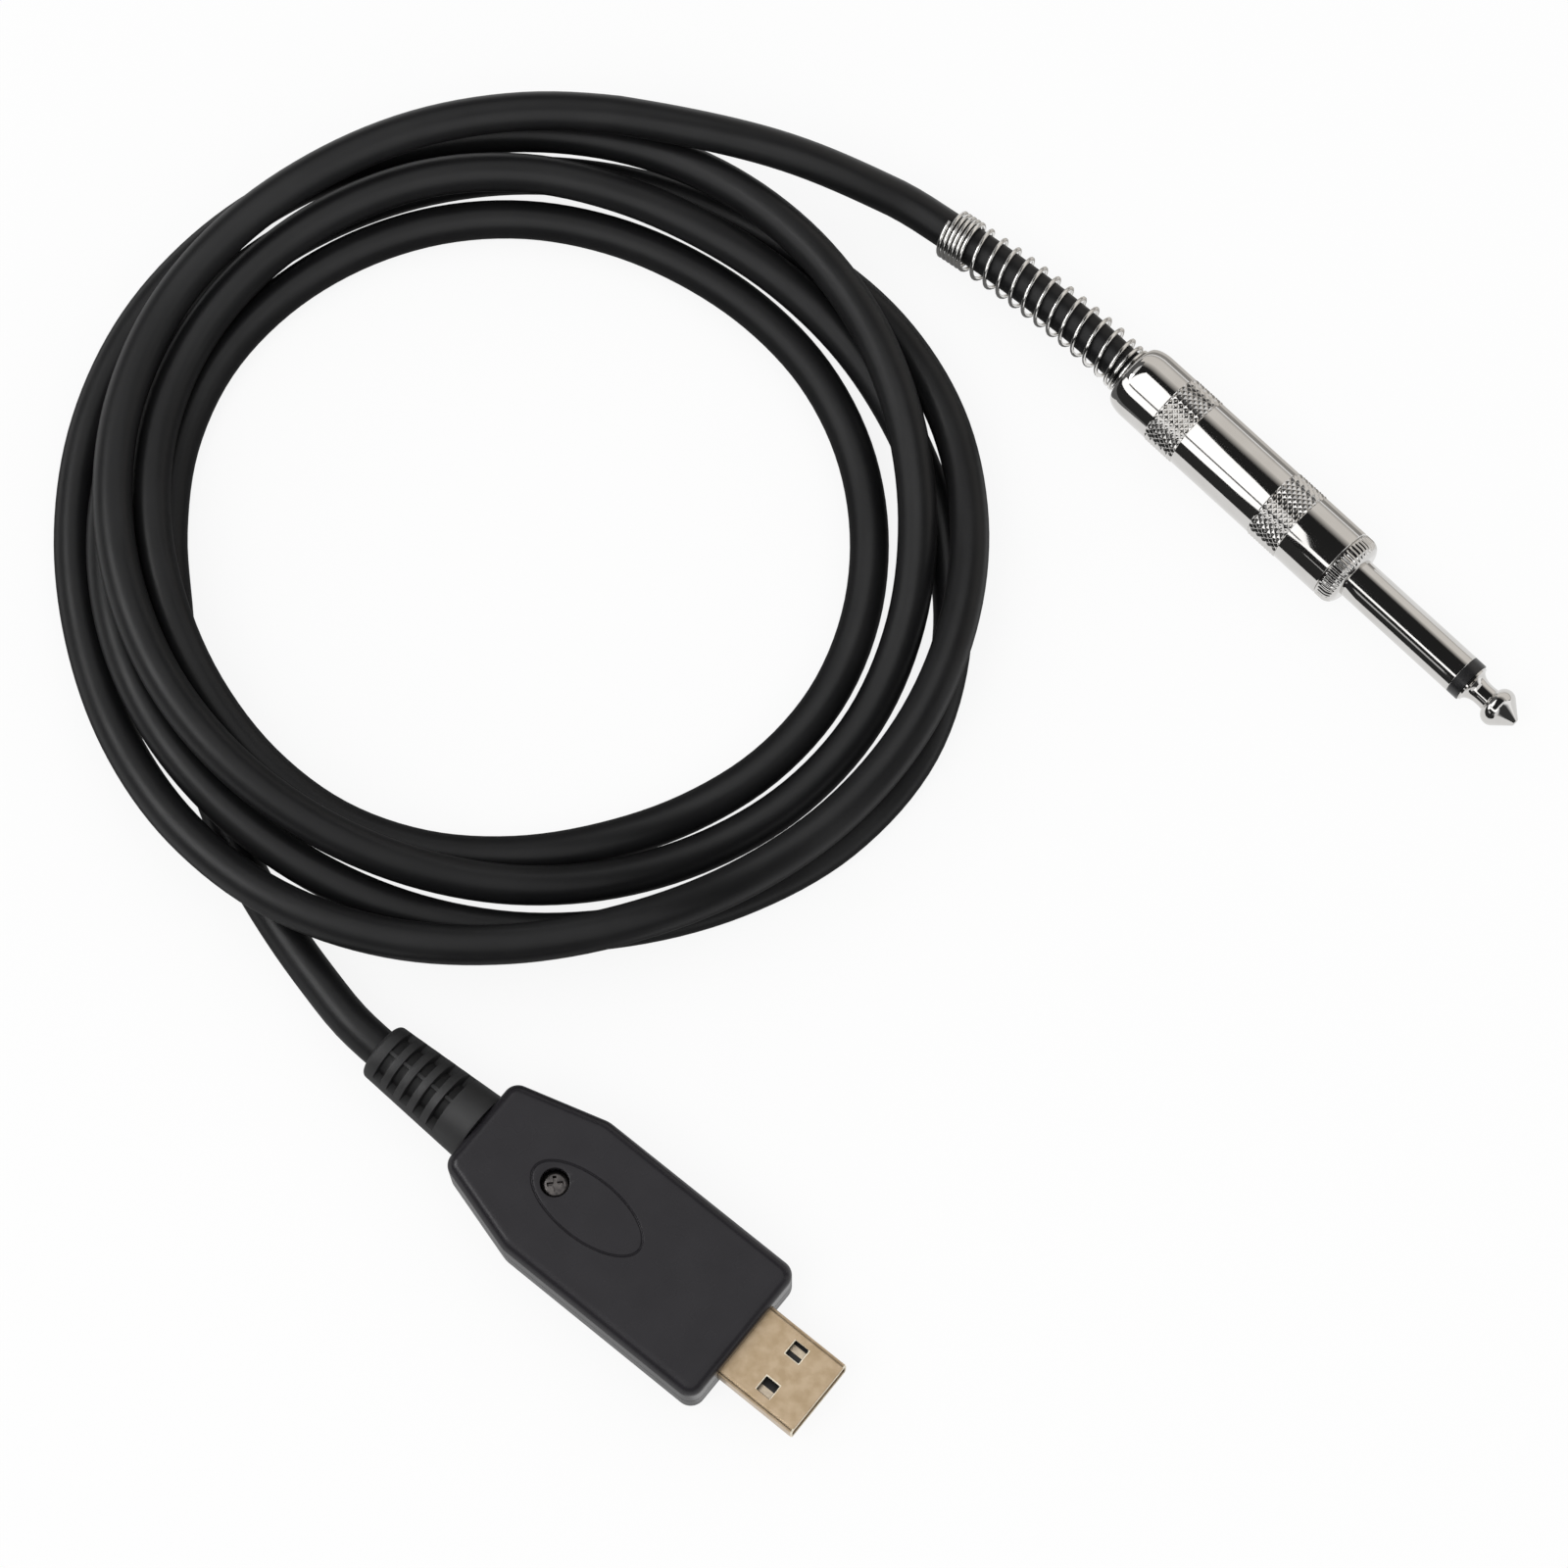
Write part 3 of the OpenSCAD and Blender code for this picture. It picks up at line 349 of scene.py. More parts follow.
def run_tree(obj, tree, sizes):
    """The plain mesh that the tree makes of obj. The object that it started from is removed."""
    scene.collection.objects.link(obj)
    modifier = obj.modifiers.new(tree.name, "NODES")
    modifier.node_group = tree
    for item in tree.interface.items_tree:
        if item.in_out == "INPUT" and item.name in sizes:
            modifier[item.identifier] = sizes[item.name]
    evaluated = obj.evaluated_get(bpy.context.evaluated_depsgraph_get())
    mesh = bpy.data.meshes.new_from_object(evaluated)
    bpy.data.objects.remove(obj)
    return mesh


def finished(mesh, *modifiers):
    """The mesh with some modifiers worked in. Each is a kind and a dictionary of its settings."""
    obj = bpy.data.objects.new(mesh.name, mesh)
    scene.collection.objects.link(obj)
    for kind, settings in modifiers:
        modifier = obj.modifiers.new(kind, kind)
        for name, value in settings.items():
            setattr(modifier, name, value)
    result = bpy.data.meshes.new_from_object(obj.evaluated_get(bpy.context.evaluated_depsgraph_get()))
    bpy.data.objects.remove(obj)
    return result


def settle(name, mesh, place, body, slot, *nodes, crease=35, turn_out=True, level=False):
    """Puts a mesh in its place in the frame, smooths it and hangs it on its body. A level piece has wide
    flat faces, whose shading mustn't lean with the small faces round them."""
    mesh.transform(place)
    if turn_out:
        shape = bmesh.new()
        shape.from_mesh(mesh)
        bmesh.ops.recalc_face_normals(shape, faces=shape.faces)
        shape.to_mesh(mesh)
        shape.free()
    mesh.shade_smooth()
    mesh.set_sharp_from_angle(angle=math.radians(crease))
    if level:
        mesh = finished(mesh, ("WEIGHTED_NORMAL", {"keep_sharp": True}))
    obj = bpy.data.objects.new(name, mesh)
    scene.collection.objects.link(obj)
    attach(obj, body)
    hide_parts(*nodes)
    print(f"{name}: {len(mesh.polygons)} faces on {body}")
    return obj


# %% Sweep a circle along the line
CORD_SIZES = {"Diameter": CORD_D * MM, "Sides": 28}
sweep, given, size = new_tree("sweep_round", CORD_SIZES)
close_tree(sweep, swept(sweep, given.outputs[0], size["Sides"], size["Diameter"]), JACKET)

line_curve = bpy.data.curves.new("cord_line", "CURVE")
line_curve.dimensions = "3D"
spline = line_curve.splines.new("POLY")
spline.points.add(len(cord_line) - 1)
for point, place in zip(spline.points, cord_line):
    point.co = (*place, 1)
cord_mesh = run_tree(bpy.data.objects.new("cord_line", line_curve), sweep, CORD_SIZES)
cord = settle("cord", cord_mesh, Matrix(), "cable", "cord_jacket", "cable_usb_lead", "cable_coil",
    "cable_jack_lead")

# %% [markdown]
# ## The table and the light
# The table is a pale floor that camera, gloss and glass see as white, while it still takes a soft
# shadow. The world is an even white studio with one large lamp. Polished metal only shows its form
# when it mirrors something dark, so a photographer hangs cards round it. Here they are bent round the
# plug's axis: a black one overhead, three warm ones to the right, and a white one to the left with a
# dark bar and a grey stripe. Low fences stand beside the barrel and a card stands in front of the tip.
# A grey sheet on the table to the right is painted shade: it darkens towards the barrel. Dim sheets
# under the coil, the housing and the spring are painted shade of the table round them. A dim wall
# goes all round, and a bright window in the west lights the bevels. Only reflections see any of these.

# %% Floor and world
def seen_directly(tree):
    """1 for camera, gloss and glass rays."""
    path = add(tree, "ShaderNodeLightPath")
    kinds = [Term(tree, path.outputs[f"Is {kind} Ray"]) for kind in ("Camera", "Glossy", "Transmission")]
    return kinds[0].at_least(kinds[1]).at_least(kinds[2])


def white_stage(name):
    """A pale matt floor that shows as white and keeps a share of its shadow."""
    shadow_share = 0.12
    material = bpy.data.materials.new(name)
    material.use_nodes = True
    tree = material.node_tree
    tree.nodes.clear()
    matt = add(tree, "ShaderNodeBsdfDiffuse")
    matt.inputs["Color"].default_value = (0.93, 0.93, 0.93, 1)
    glow = add(tree, "ShaderNodeEmission", {"Strength": 1.0})
    mix = add(tree, "ShaderNodeMixShader", {0: seen_directly(tree) * (1 - shadow_share),
        1: matt.outputs[0], 2: glow.outputs[0]})
    add(tree, "ShaderNodeOutputMaterial", {"Surface": mix.outputs[0]})
    return material


def stage_mesh(name, corners, faces, material):
    mesh = bpy.data.meshes.new(name)
    mesh.from_pydata(corners, [], faces)
    mesh.materials.append(material)
    obj = bpy.data.objects.new(name, mesh)
    scene.collection.objects.link(obj)
    return obj


FLOOR_HALF = 3.0
FLOOR_Z = -0.0001
floor_corners = [(x * FLOOR_HALF, y * FLOOR_HALF, FLOOR_Z) for x, y in ((-1, -1), (1, -1), (1, 1), (-1, 1))]
stage_mesh("table", floor_corners, [(0, 1, 2, 3)], white_stage("table_white"))

AMBIENT = 0.8
world = bpy.data.worlds.new("studio")
scene.world = world
world.use_nodes = True
background = world.node_tree.nodes["Background"]
background.inputs["Color"].default_value = (1, 1, 1, 1)
feed(world.node_tree, background.inputs["Strength"],
    seen_directly(world.node_tree) * (1 - AMBIENT) + AMBIENT)

lamp = bpy.data.objects.new("softbox", bpy.data.lights.new("softbox", "AREA"))
lamp.data.shape = "RECTANGLE"
lamp.data.size = 0.5
lamp.data.size_y = 0.9
lamp.data.energy = 3.5
lamp.location = (-0.45, -0.35, 1.1)
lamp.rotation_euler = (Vector((0.02, 0.07, 0)) - lamp.location).to_track_quat("-Z", "Y").to_euler()
lamp.visible_glossy = False
scene.collection.objects.link(lamp)

# %% Cards that only reflections see
CARD_LEAN = 0.2
JACK_Z = 5.7


def glowing(name, tint):
    """A glow whose strength is written on the corners of the card."""
    material = bpy.data.materials.new(name)
    material.use_nodes = True
    tree = material.node_tree
    tree.nodes.clear()
    strength = add(tree, "ShaderNodeAttribute", attribute_name="glow").outputs["Fac"]
    glow = add(tree, "ShaderNodeEmission", {"Strength": strength})
    glow.inputs["Color"].default_value = (*tint, 1)
    add(tree, "ShaderNodeOutputMaterial", {"Surface": glow.outputs[0]})
    return material


def only_mirrored(obj, glows):
    """Hides a card from everything but reflections, and writes the glow of its corners."""
    obj.data.attributes.new("glow", "FLOAT", "POINT").data.foreach_set("value", glows)
    for ray in ("camera", "diffuse", "transmission", "volume_scatter", "shadow"):
        setattr(obj, "visible_" + ray, False)


def card(name, rows, tint=(1, 1, 1)):
    """A sheet through rows of corners in the plug's own millimetres. The fourth number is its glow."""
    n = len(rows[0])
    corners = [c for row in rows for c in row]
    faces = [(i * n + k, i * n + k + 1, (i + 1) * n + k + 1, (i + 1) * n + k)
        for i in range(len(rows) - 1) for k in range(n - 1)]
    obj = stage_mesh(name, [JACK @ Vector(c[:3]) for c in corners], faces, glowing(name, tint))
    only_mirrored(obj, [c[3] for c in corners])


def bent(radius, glow, stations, steps=12):
    """Rows of a card bent round the plug. A station is a place along the plug, and the two angles from
    straight up, towards the right, between which the barrel mirrors the card there."""
    rows = []
    for s, high, low in stations:
        shares = [k / steps for k in range(steps + 1)]
        turns = [math.radians(high + (low - high) * t) for t in shares]
        rows.append([(s - CARD_LEAN * radius, radius * math.sin(a), radius * math.cos(a),
            glow[0] + (glow[1] - glow[0]) * t) for a, t in zip(turns, shares)])
    return rows


def fence(stations, side, glow):
    """Rows of a low strip that stands beside the plug. A station is a place and two heights."""
    return [[(s, side, z - JACK_Z, glow) for z in (low, high)] for s, low, high in stations]


def shade_sheet(name, corners, glow):
    """A flat dim sheet on the table, seen by reflections only, as painted shade. Corners in millimetres."""
    obj = stage_mesh(name, [MM * Vector((*c, 0.06)) for c in corners], [tuple(range(len(corners)))],
        glowing(name, (1, 1, 1)))
    only_mirrored(obj, [glow] * len(corners))


def oblong(place, low, high):
    """The corners of an oblong on the table, in millimetres. place is that of the end beside it."""
    corners = ((low[0], low[1]), (high[0], low[1]), (high[0], high[1]), (low[0], high[1]))
    return [tuple((place @ Vector((x, y, 0)) / MM).xy) for x, y in corners]


def wall(name, radius, low, high, start, end, glow):
    """A curved wall round the table between two heights and two bearings, in metres and degrees."""
    steps = 48
    turns = [math.radians(start + (end - start) * k / steps) for k in range(steps + 1)]
    corners = [(radius * math.cos(a), radius * math.sin(a), h) for h in (low, high) for a in turns]
    faces = [(k + 1, k, steps + 1 + k, steps + 2 + k) for k in range(steps)]
    only_mirrored(stage_mesh(name, corners, faces, glowing(name, (1, 1, 1))), [glow] * len(corners))


NEAR = (-60, 130)
WIDE = (-120, 160)
SHADE_SHEET_R = 78
SHADE_SHEET_SIDES = 64
WARM = (1, 0.96, 0.91)
card("overhead", bent(110, (0.02, 0.02), [(s, 26, -78) for s in NEAR]))
card("right_top", bent(108, (0.85, 0.02), [(s, 48, 26) for s in NEAR]), WARM)
card("right_middle", bent(108, (0.85, 0.85), [(s, 76, 46) for s in WIDE]), WARM)
card("right_low", bent(108, (0.5, 0.85), [(s, 88, 76) for s in WIDE]), WARM)
card("right_fence", fence([(-40, 3.4, 8.5), (44, 3.4, 8.5)], 16, 0.33), WARM)
# Painted shade: a grey sheet on the table beside the barrel, darker towards it, stands for the table's shade
# there in reflections
card("right_table_shade", [[(s, y, 0.15 - JACK_Z, g) for y, g in ((4, 0.35), (12, 0.65), (60, 0.75))]
    for s in (-40, 42)], WARM)
card("left", bent(95, (1.7, 1.7), [(-120, -45, -72), (-50, -40, -72), (-8, 13, -74), (6, 12, -74),
    (14, 2, -72), (21, -4, -70), (28, -7, -69), (38, -17, -58), (44, -21, -54), (49, -43, -53),
    (110, -43, -53), (160, -20, -53)]))
card("left_bar", bent(90, (0.12, 0.12), [(s, -44.5, -49) for s in (-30, 44)]))
card("left_stripe", bent(90, (0.6, 0.6), [(s, -68, -76) for s in (48, 90)]))
card("left_fence", fence([(-8, 6.5, 11.3), (44, 6.5, 11.3), (46, 5, 9), (80, 5, 9)], -9, 0.03))
card("front", [[(150, y, z, g) for y, g in ((-100, 0.9), (-45, 0.9), (-25, 0.05), (25, 0.05), (50, 1.2),
    (100, 1.2))] for z in (-3, 110)])
# Painted shade: dim sheets under the coil, the housing and the spring darken the table where reflections see
# it
shade_sheet("shade_sheet_coil", [(COIL_CENTRE[0] + SHADE_SHEET_R * math.cos(a), COIL_CENTRE[1] + SHADE_SHEET_R * math.sin(a)) for a in
    [2 * math.pi * k / SHADE_SHEET_SIDES for k in range(SHADE_SHEET_SIDES)]], 0.15)
shade_sheet("shade_sheet_usb", oblong(USB, (-75, -24), (24.5, 24)), 0.5)
shade_sheet("shade_sheet_spring", oblong(JACK, (-44, -45), (-4, -1)), 0.15)
wall("surround", 1.5, 0.12, 1.3, 0, 360, 0.12)
wall("west_window", 1.35, 1.05, 2.1, 145, 195, 7.0)
print("cards are up")

# %% [markdown]
# ## Turned pieces
# Barrel, collar, contacts and strain relief are round, so a profile of distances along the axis and
# radii is all that they need. Points where the radius is nought become one corner, which closes the
# end. Rounded shoulders are arcs in the profile.

# %% Turn a profile round its axis
def arc(middle, radii, start, end, steps):
    """Points of an arc or ellipse from one angle to another. Angle 0 points along the axis, 90 outwards."""
    turns = [math.radians(start + (end - start) * k / steps) for k in range(steps + 1)]
    return [(middle[0] + radii[0] * math.cos(a), middle[1] + radii[1] * math.sin(a)) for a in turns]


def along(start, end, radius, steps):
    """Evenly spaced points of a straight stretch, for what is bent afterwards."""
    return [(start + (end - start) * k / steps, radius) for k in range(steps + 1)]


def baked(shape, name, turn_out=True):
    """The plain mesh of a shape under construction."""
    if turn_out:
        bmesh.ops.recalc_face_normals(shape, faces=shape.faces)
    mesh = bpy.data.meshes.new(name)
    shape.to_mesh(mesh)
    shape.free()
    return mesh


def turned(name, profile, sides=96):
    """A closed solid of revolution round the X axis. Both ends lie on the axis, or the profile is a loop."""
    shape = bmesh.new()
    rings = []
    for x, r in profile:
        if r < 1e-6:
            rings.append([shape.verts.new((x, 0, 0))] * sides)
            continue
        turns = [2 * math.pi * k / sides for k in range(sides)]
        rings.append([shape.verts.new((x, -r * math.sin(a), r * math.cos(a))) for a in turns])
    loop = profile[0][1] > 1e-6
    for here, there in zip(rings, rings[1:] + rings[:1] if loop else rings[1:]):
        for k in range(sides):
            corners = [here[k - 1], here[k], there[k], there[k - 1]]
            shape.faces.new(list(dict.fromkeys(corners)))
    return baked(shape, name)


def worked(name, mesh, tree, sizes):
    """A tree run on a bare mesh."""
    return run_tree(bpy.data.objects.new(name, mesh), tree, sizes)


def painted(mesh, material):
    mesh.materials.append(material)
    return mesh


# %% [markdown]
# ## Metals
# Nickel plate on turned brass is bright with very fine turning marks round the piece, and it isn't
# quite neutral: it leans to warm grey. Spring wire is a little duller. The USB shell is tin plate that
# has yellowed, so its colour wanders in soft blotches. Its cut and rolled edges get a paler, duller
# colour, which is partly the bare metal there and partly a painted highlight.

# %% Metal finishes
NICKEL = finish("nickel_plate", (0.6, 0.588, 0.57), (0.64, 0.63, 0.615), 0.07, spread=0.02, blotch=5,
    grain=0.25, grain_depth=0.0006, Metallic=1.0)
SPRING = finish("spring_steel", (0.68, 0.67, 0.65), (0.78, 0.77, 0.75), 0.1, spread=0.05, blotch=2,
    grain=0.2, grain_depth=0.001, Metallic=1.0)
SHELL = finish("shell_metal", (0.43, 0.32, 0.2), (0.52, 0.4, 0.27), 0.34, spread=0.06, blotch=1.6,
    grain=0.35, grain_depth=0.006, Metallic=1.0)
# Partly painted highlight: the pale colour of the shell's cut and rolled edges is partly bare metal and
# partly light that they catch
PALE_EDGE_AND_HIGHLIGHT = finish("shell_edge_and_highlight", (0.78, 0.7, 0.55), (0.86, 0.8, 0.66), 0.55, blotch=1, grain=0.3,
    grain_depth=0.004, Metallic=0.35)
SCREW = finish("screw_steel", (0.06, 0.056, 0.056), (0.13, 0.12, 0.115), 0.24, spread=0.1, blotch=0.8,
    grain=0.2, grain_depth=0.004, Metallic=1.0)
print("metals made")

# %% [markdown]
# ## The barrel and its knurl
# A knurl is pressed into the barrel by two wheels and leaves rows of little pyramids, half a step
# apart from row to row. The tree lays a cone of four sides on every place of that lattice, on each of
# the two bands. Row and place in the row come from the point's number, so two counts and two lengths
# set the whole pattern.

# %% Barrel with two knurled bands
BARREL_R = 5.6
BARREL_LEN = 41.5
BAND_TOP = 5.7
BAND_FLOOR = 5.45
BAND_WIDTH = 5.2
BANDS = (7.8, 28.4)
KNURL = {"Around": 33, "Rows": 10, "Row step": BAND_WIDTH / 10, "Floor radius": BAND_FLOOR,
    "Height": BAND_TOP - BAND_FLOOR, "Flat top": 0.15, "First band": BANDS[0], "Second band": BANDS[1]}

knurl, given, size = new_tree("knurl", KNURL)
count = size["Around"] * size["Rows"]
index = own_number(knurl)
row = (index / size["Around"]).maths("FLOOR")
place = index.maths("MODULO", size["Around"]) + row.maths("MODULO", 2) * 0.5
turn = place / size["Around"] * (2 * math.pi)
SUNK = 0.03
pyramid = add(knurl, "GeometryNodeMeshCone", {"Vertices": 4, "Radius Top": size["Flat top"],
    "Radius Bottom": 1.0, "Depth": size["Height"] + SUNK})
angles = vector(knurl, turn)
half_steps = vector(knurl, size["Row step"], size["Floor radius"] * math.pi / size["Around"], 1.0)
joined = add(knurl, "GeometryNodeJoinGeometry")
knurl.links.new(given.outputs[0], joined.inputs[0])
for band in ("First band", "Second band"):
    spot = vector(knurl, size[band] + (row + 0.5) * size["Row step"],
        turn.maths("SINE") * (0 - (size["Floor radius"] - SUNK)),
        turn.maths("COSINE") * (size["Floor radius"] - SUNK))
    points = add(knurl, "GeometryNodePoints", {"Count": count, "Position": spot})
    grown = add(knurl, "GeometryNodeInstanceOnPoints", {"Points": points.outputs[0],
        "Instance": pyramid.outputs["Mesh"], "Rotation": angles, "Scale": half_steps})
    knurl.links.new(grown.outputs[0], joined.inputs[0])
close_tree(knurl, joined.outputs[0], NICKEL)

GUARD_HOLE_R = 4.35
SHOULDER = 3.0
RIM = 0.1
REAR_WALL = 3.2
BORE_R = 4.7
EDGE = 0.3
shoulder_w = BARREL_R - GUARD_HOLE_R - RIM
bands = [p for x in BANDS for p in ((x - 0.12, BARREL_R), (x, BAND_FLOOR + 0.04), (x, BAND_FLOOR),
    (x + BAND_WIDTH, BAND_FLOOR), (x + BAND_WIDTH, BAND_FLOOR + 0.04), (x + BAND_WIDTH + 0.12, BARREL_R))]
barrel_profile = [(0.1, GUARD_HOLE_R), (0, GUARD_HOLE_R + 0.1),
    *arc((SHOULDER, BARREL_R - shoulder_w), (SHOULDER, shoulder_w), 180, 90, 18), *bands,
    *arc((BARREL_LEN - EDGE, BARREL_R - EDGE), (EDGE, EDGE), 90, 0, 5),
    (BARREL_LEN, BORE_R + 0.1), (BARREL_LEN - 0.1, BORE_R), (REAR_WALL, BORE_R), (REAR_WALL, GUARD_HOLE_R)]
barrel_mesh = worked("barrel", turned("barrel", barrel_profile, 128), knurl, KNURL)
settle("barrel", barrel_mesh, JACK, "barrel", "plug_metal", "jack_barrel", turn_out=False)

# %% [markdown]
# ## The collar: flutes and a thread
# The collar in front of the barrel has fine flutes, and behind it, inside the barrel, is the thread
# that the barrel screws onto. Both are waves in the radius of a finely turned piece. The flutes are a
# cosine of the angle; the thread's wave also moves along the axis, one pitch for each turn. They are
# faded in only where they belong.

# %% Fluted and threaded collar
COLLAR_LEN = 3.0
COLLAR_ROUND = 1.8
SPIGOT_LEN = 7.0
SPIGOT_R = 4.65
ROOT_BORE_R = 3.03
WAVES = {"Flutes": 48, "Flute depth": 0.17, "Pitch": 1.0, "Thread depth": 0.42,
    "Seat": BARREL_LEN, "Front": BARREL_LEN + COLLAR_LEN}

waves, given, size = new_tree("flutes_and_thread", WAVES)
x, y, z = own_place(waves)
radius = (y * y + z * z).maths("SQRT")
angle = y.maths("ARCTAN2", z)
outside = radius.over(SPIGOT_R - 0.06)
on_collar = (x - size["Seat"] - 0.25).at_least(0).at_most(0.2) * 5
on_collar = on_collar * (size["Front"] - x - 0.35).at_least(0).at_most(0.3) / 0.3
flute = (1 - (angle * size["Flutes"]).maths("COSINE")) * 0.5 * size["Flute depth"] * on_collar * outside
phase = (x / size["Pitch"] + angle / (2 * math.pi) + 100).maths("FRACT")
on_thread = (size["Seat"] - 0.5 - x).at_least(0).at_most(0.3) / 0.3
on_thread = on_thread * (x - (BARREL_LEN - SPIGOT_LEN)).at_least(0).at_most(0.6) / 0.6
groove = (1 - (phase - 0.5).maths("ABSOLUTE") * 2) * size["Thread depth"] * on_thread * outside
shrink = (radius - flute - groove) / radius
close_tree(waves, moved(waves, given.outputs[0], x, y * shrink, z * shrink), NICKEL)

front = BARREL_LEN + COLLAR_LEN
spigot_rear = BARREL_LEN - SPIGOT_LEN
collar_profile = [(spigot_rear, ROOT_BORE_R), (spigot_rear, SPIGOT_R - 0.5),
    *along(spigot_rear + 0.1, BARREL_LEN - 0.02, SPIGOT_R, 56), (BARREL_LEN, SPIGOT_R),
    (BARREL_LEN, BARREL_R - 0.15),
    *along(BARREL_LEN + 0.15, front - COLLAR_ROUND, BARREL_R, 6),
    *arc((front - COLLAR_ROUND, BARREL_R - COLLAR_ROUND), (COLLAR_ROUND, COLLAR_ROUND), 86, 0, 14),
    (front, ROOT_BORE_R)]
collar_mesh = worked("collar", turned("collar", collar_profile, 384), waves, WAVES)
settle("collar", collar_mesh, JACK, "cable", "plug_metal", "jack_collar", turn_out=False)

# %% [markdown]
# ## The contacts of the plug
# The sleeve is a plain tube. A black ring keeps it apart from the tip, which is turned from one rod: a
# flange, a waist where the socket's spring catches, a ball and a cone.

# %% Sleeve, ring and tip
RING_PLASTIC = finish("ring_plastic", (0.008, 0.008, 0.009), (0.014, 0.014, 0.015), 0.35, blotch=1,
    grain=0.15, grain_depth=0.002)
SLEEVE_R = 3.175
SLEEVE_OUT = 20.7
SLEEVE_BORE = 2.3
RING_W = 1.8
ROD_R = 1.25
ring_rear = front + SLEEVE_OUT
tip_rear = ring_rear + RING_W
sleeve_profile = [(spigot_rear, SLEEVE_BORE), (spigot_rear, 3.0), (front, 3.0), (front, SLEEVE_R),
    *arc((ring_rear - 0.08, SLEEVE_R - 0.08), (0.08, 0.08), 90, 0, 3), (ring_rear, SLEEVE_BORE)]
sleeve = painted(turned("sleeve", sleeve_profile, 128), NICKEL)
settle("sleeve", sleeve, JACK, "cable", "plug_metal", "jack_sleeve")
lining_rear = ring_rear - 20
ring_profile = [(lining_rear, ROD_R + 0.03), (lining_rear, SLEEVE_BORE - 0.03),
    (ring_rear, SLEEVE_BORE - 0.03), (ring_rear, SLEEVE_R - 0.03), (tip_rear, SLEEVE_R - 0.03),
    (tip_rear, ROD_R + 0.03)]
insulator = painted(turned("ring", ring_profile, 128), RING_PLASTIC)
settle("ring", insulator, JACK, "cable", "ring_plastic", "tip_insulator")

TIP_LEN = 8.6
FLANGE_R = 2.875
NECK_R = 1.75
BULB_R = 3.0
RIVET_R = 1.5
rivet_rear = spigot_rear - 0.8 - 0.8 - 0.6 - 0.6
tip_profile = [(rivet_rear, 0), (rivet_rear, RIVET_R), (rivet_rear + 0.6, RIVET_R), (rivet_rear + 0.6, ROD_R),
    (tip_rear, ROD_R), (tip_rear, FLANGE_R - 0.08), (tip_rear + 0.08, FLANGE_R), (tip_rear + 0.36, FLANGE_R),
    *arc((tip_rear + 2.4, FLANGE_R), (2.0, FLANGE_R - NECK_R), 180, 270, 14), (tip_rear + 3.0, NECK_R),
    *arc((tip_rear + 5.2, BULB_R - 1.6), (1.6, 1.6), 165, 45, 18),
    *arc((tip_rear + TIP_LEN - 0.4, 0.34), (0.4, 0.4), 48, 0, 5), (tip_rear + TIP_LEN, 0)]
settle("tip", painted(turned("tip", tip_profile, 96), NICKEL), JACK, "cable", "plug_metal", "jack_tip")

# %% [markdown]
# ## The spring guard
# The wire is a line whose points sit at a place along the cord that grows with the turns: close turns
# at the cord's end, open turns, and close turns again where it enters the barrel. A formula gives that
# place, and another bends the whole spring with the cord. The wire is then swept along the line.

# %% Spring
GUARD = {"Wire": 0.6, "Radius": 3.62, "Start": GUARD_START + 0.06, "Rear turns": 5.25, "Open turns": 12.0,
    "Front turns": 3.0, "Rear pitch": 0.75, "Close pitch": 1.0, "Open pitch": 2.4, "Pass": 3.2, "Flare": 4.2,
    "Lean": 0.1, "Tilt": 0.4, "Sideways": -0.3, "Drop": 0.1, "Bend": float(GUARD_BEND), "First angle": -0.25,
    "Points per turn": 28, "Turns": 22.25}

guard, given, size = new_tree("spring_guard", GUARD)
count = size["Turns"] * size["Points per turn"] + 1
wire_line = add(guard, "GeometryNodeMeshLine", {"Count": count})
turns = own_number(guard) / size["Points per turn"]
after_rear = turns - size["Rear turns"]
after_open = after_rear - size["Open turns"]
after_front = after_open - size["Front turns"]
s = (size["Start"] + turns.at_most(size["Rear turns"]) * size["Rear pitch"]
    + after_rear.at_least(0).at_most(size["Open turns"]) * size["Open pitch"]
    + after_open.at_least(0).at_most(size["Front turns"]) * size["Close pitch"]
    + after_front.at_least(0).at_most(1) * size["Pass"]
    + (after_front - 1).at_least(0) * size["Close pitch"])
wide = ((turns - size["Turns"] + 1.25) * 4).at_least(0).at_most(1)
coil_r = size["Radius"] + wide * (size["Flare"] - size["Radius"])
free = (0 - s - 1).at_least(0).at_most(4) / 4
round_turn = (turns + size["First angle"]) * (2 * math.pi)
s = s + (round_turn.maths("COSINE") * size["Lean"] + (round_turn.maths("SINE") + 1) * size["Tilt"]) * free
bend = (0 - s).at_least(0) / size["Bend"]
middle_x = s.at_least(0) - bend.maths("SINE") * size["Bend"]
middle_y = (bend.maths("COSINE") - 1) * size["Bend"]
sideways = round_turn.maths("COSINE") * coil_r + size["Sideways"] * free
wound = moved(guard, wire_line.outputs[0], middle_x + sideways * bend.maths("SINE"),
    middle_y - sideways * bend.maths("COSINE"),
    0 - round_turn.maths("SINE") * coil_r - size["Drop"] * free)
curve = add(guard, "GeometryNodeMeshToCurve", {"Mesh": wound})
close_tree(guard, swept(guard, curve.outputs[0], 12, size["Wire"]), SPRING)
guard_mesh = worked("spring", bpy.data.meshes.new("spring"), guard, GUARD)
settle("spring", guard_mesh, JACK, "cable", "spring_steel", "spring_guard")

# %% [markdown]
# ## Cutting and lofting
# The USB end isn't round, so its pieces are lofted: the same outline is repeated at each height, a
# little further in or out, and neighbouring outlines are joined by faces. Openings are then cut with a
# boolean, whose cutter is thrown away. A narrow bevel takes the knife edge off, as every mould does.

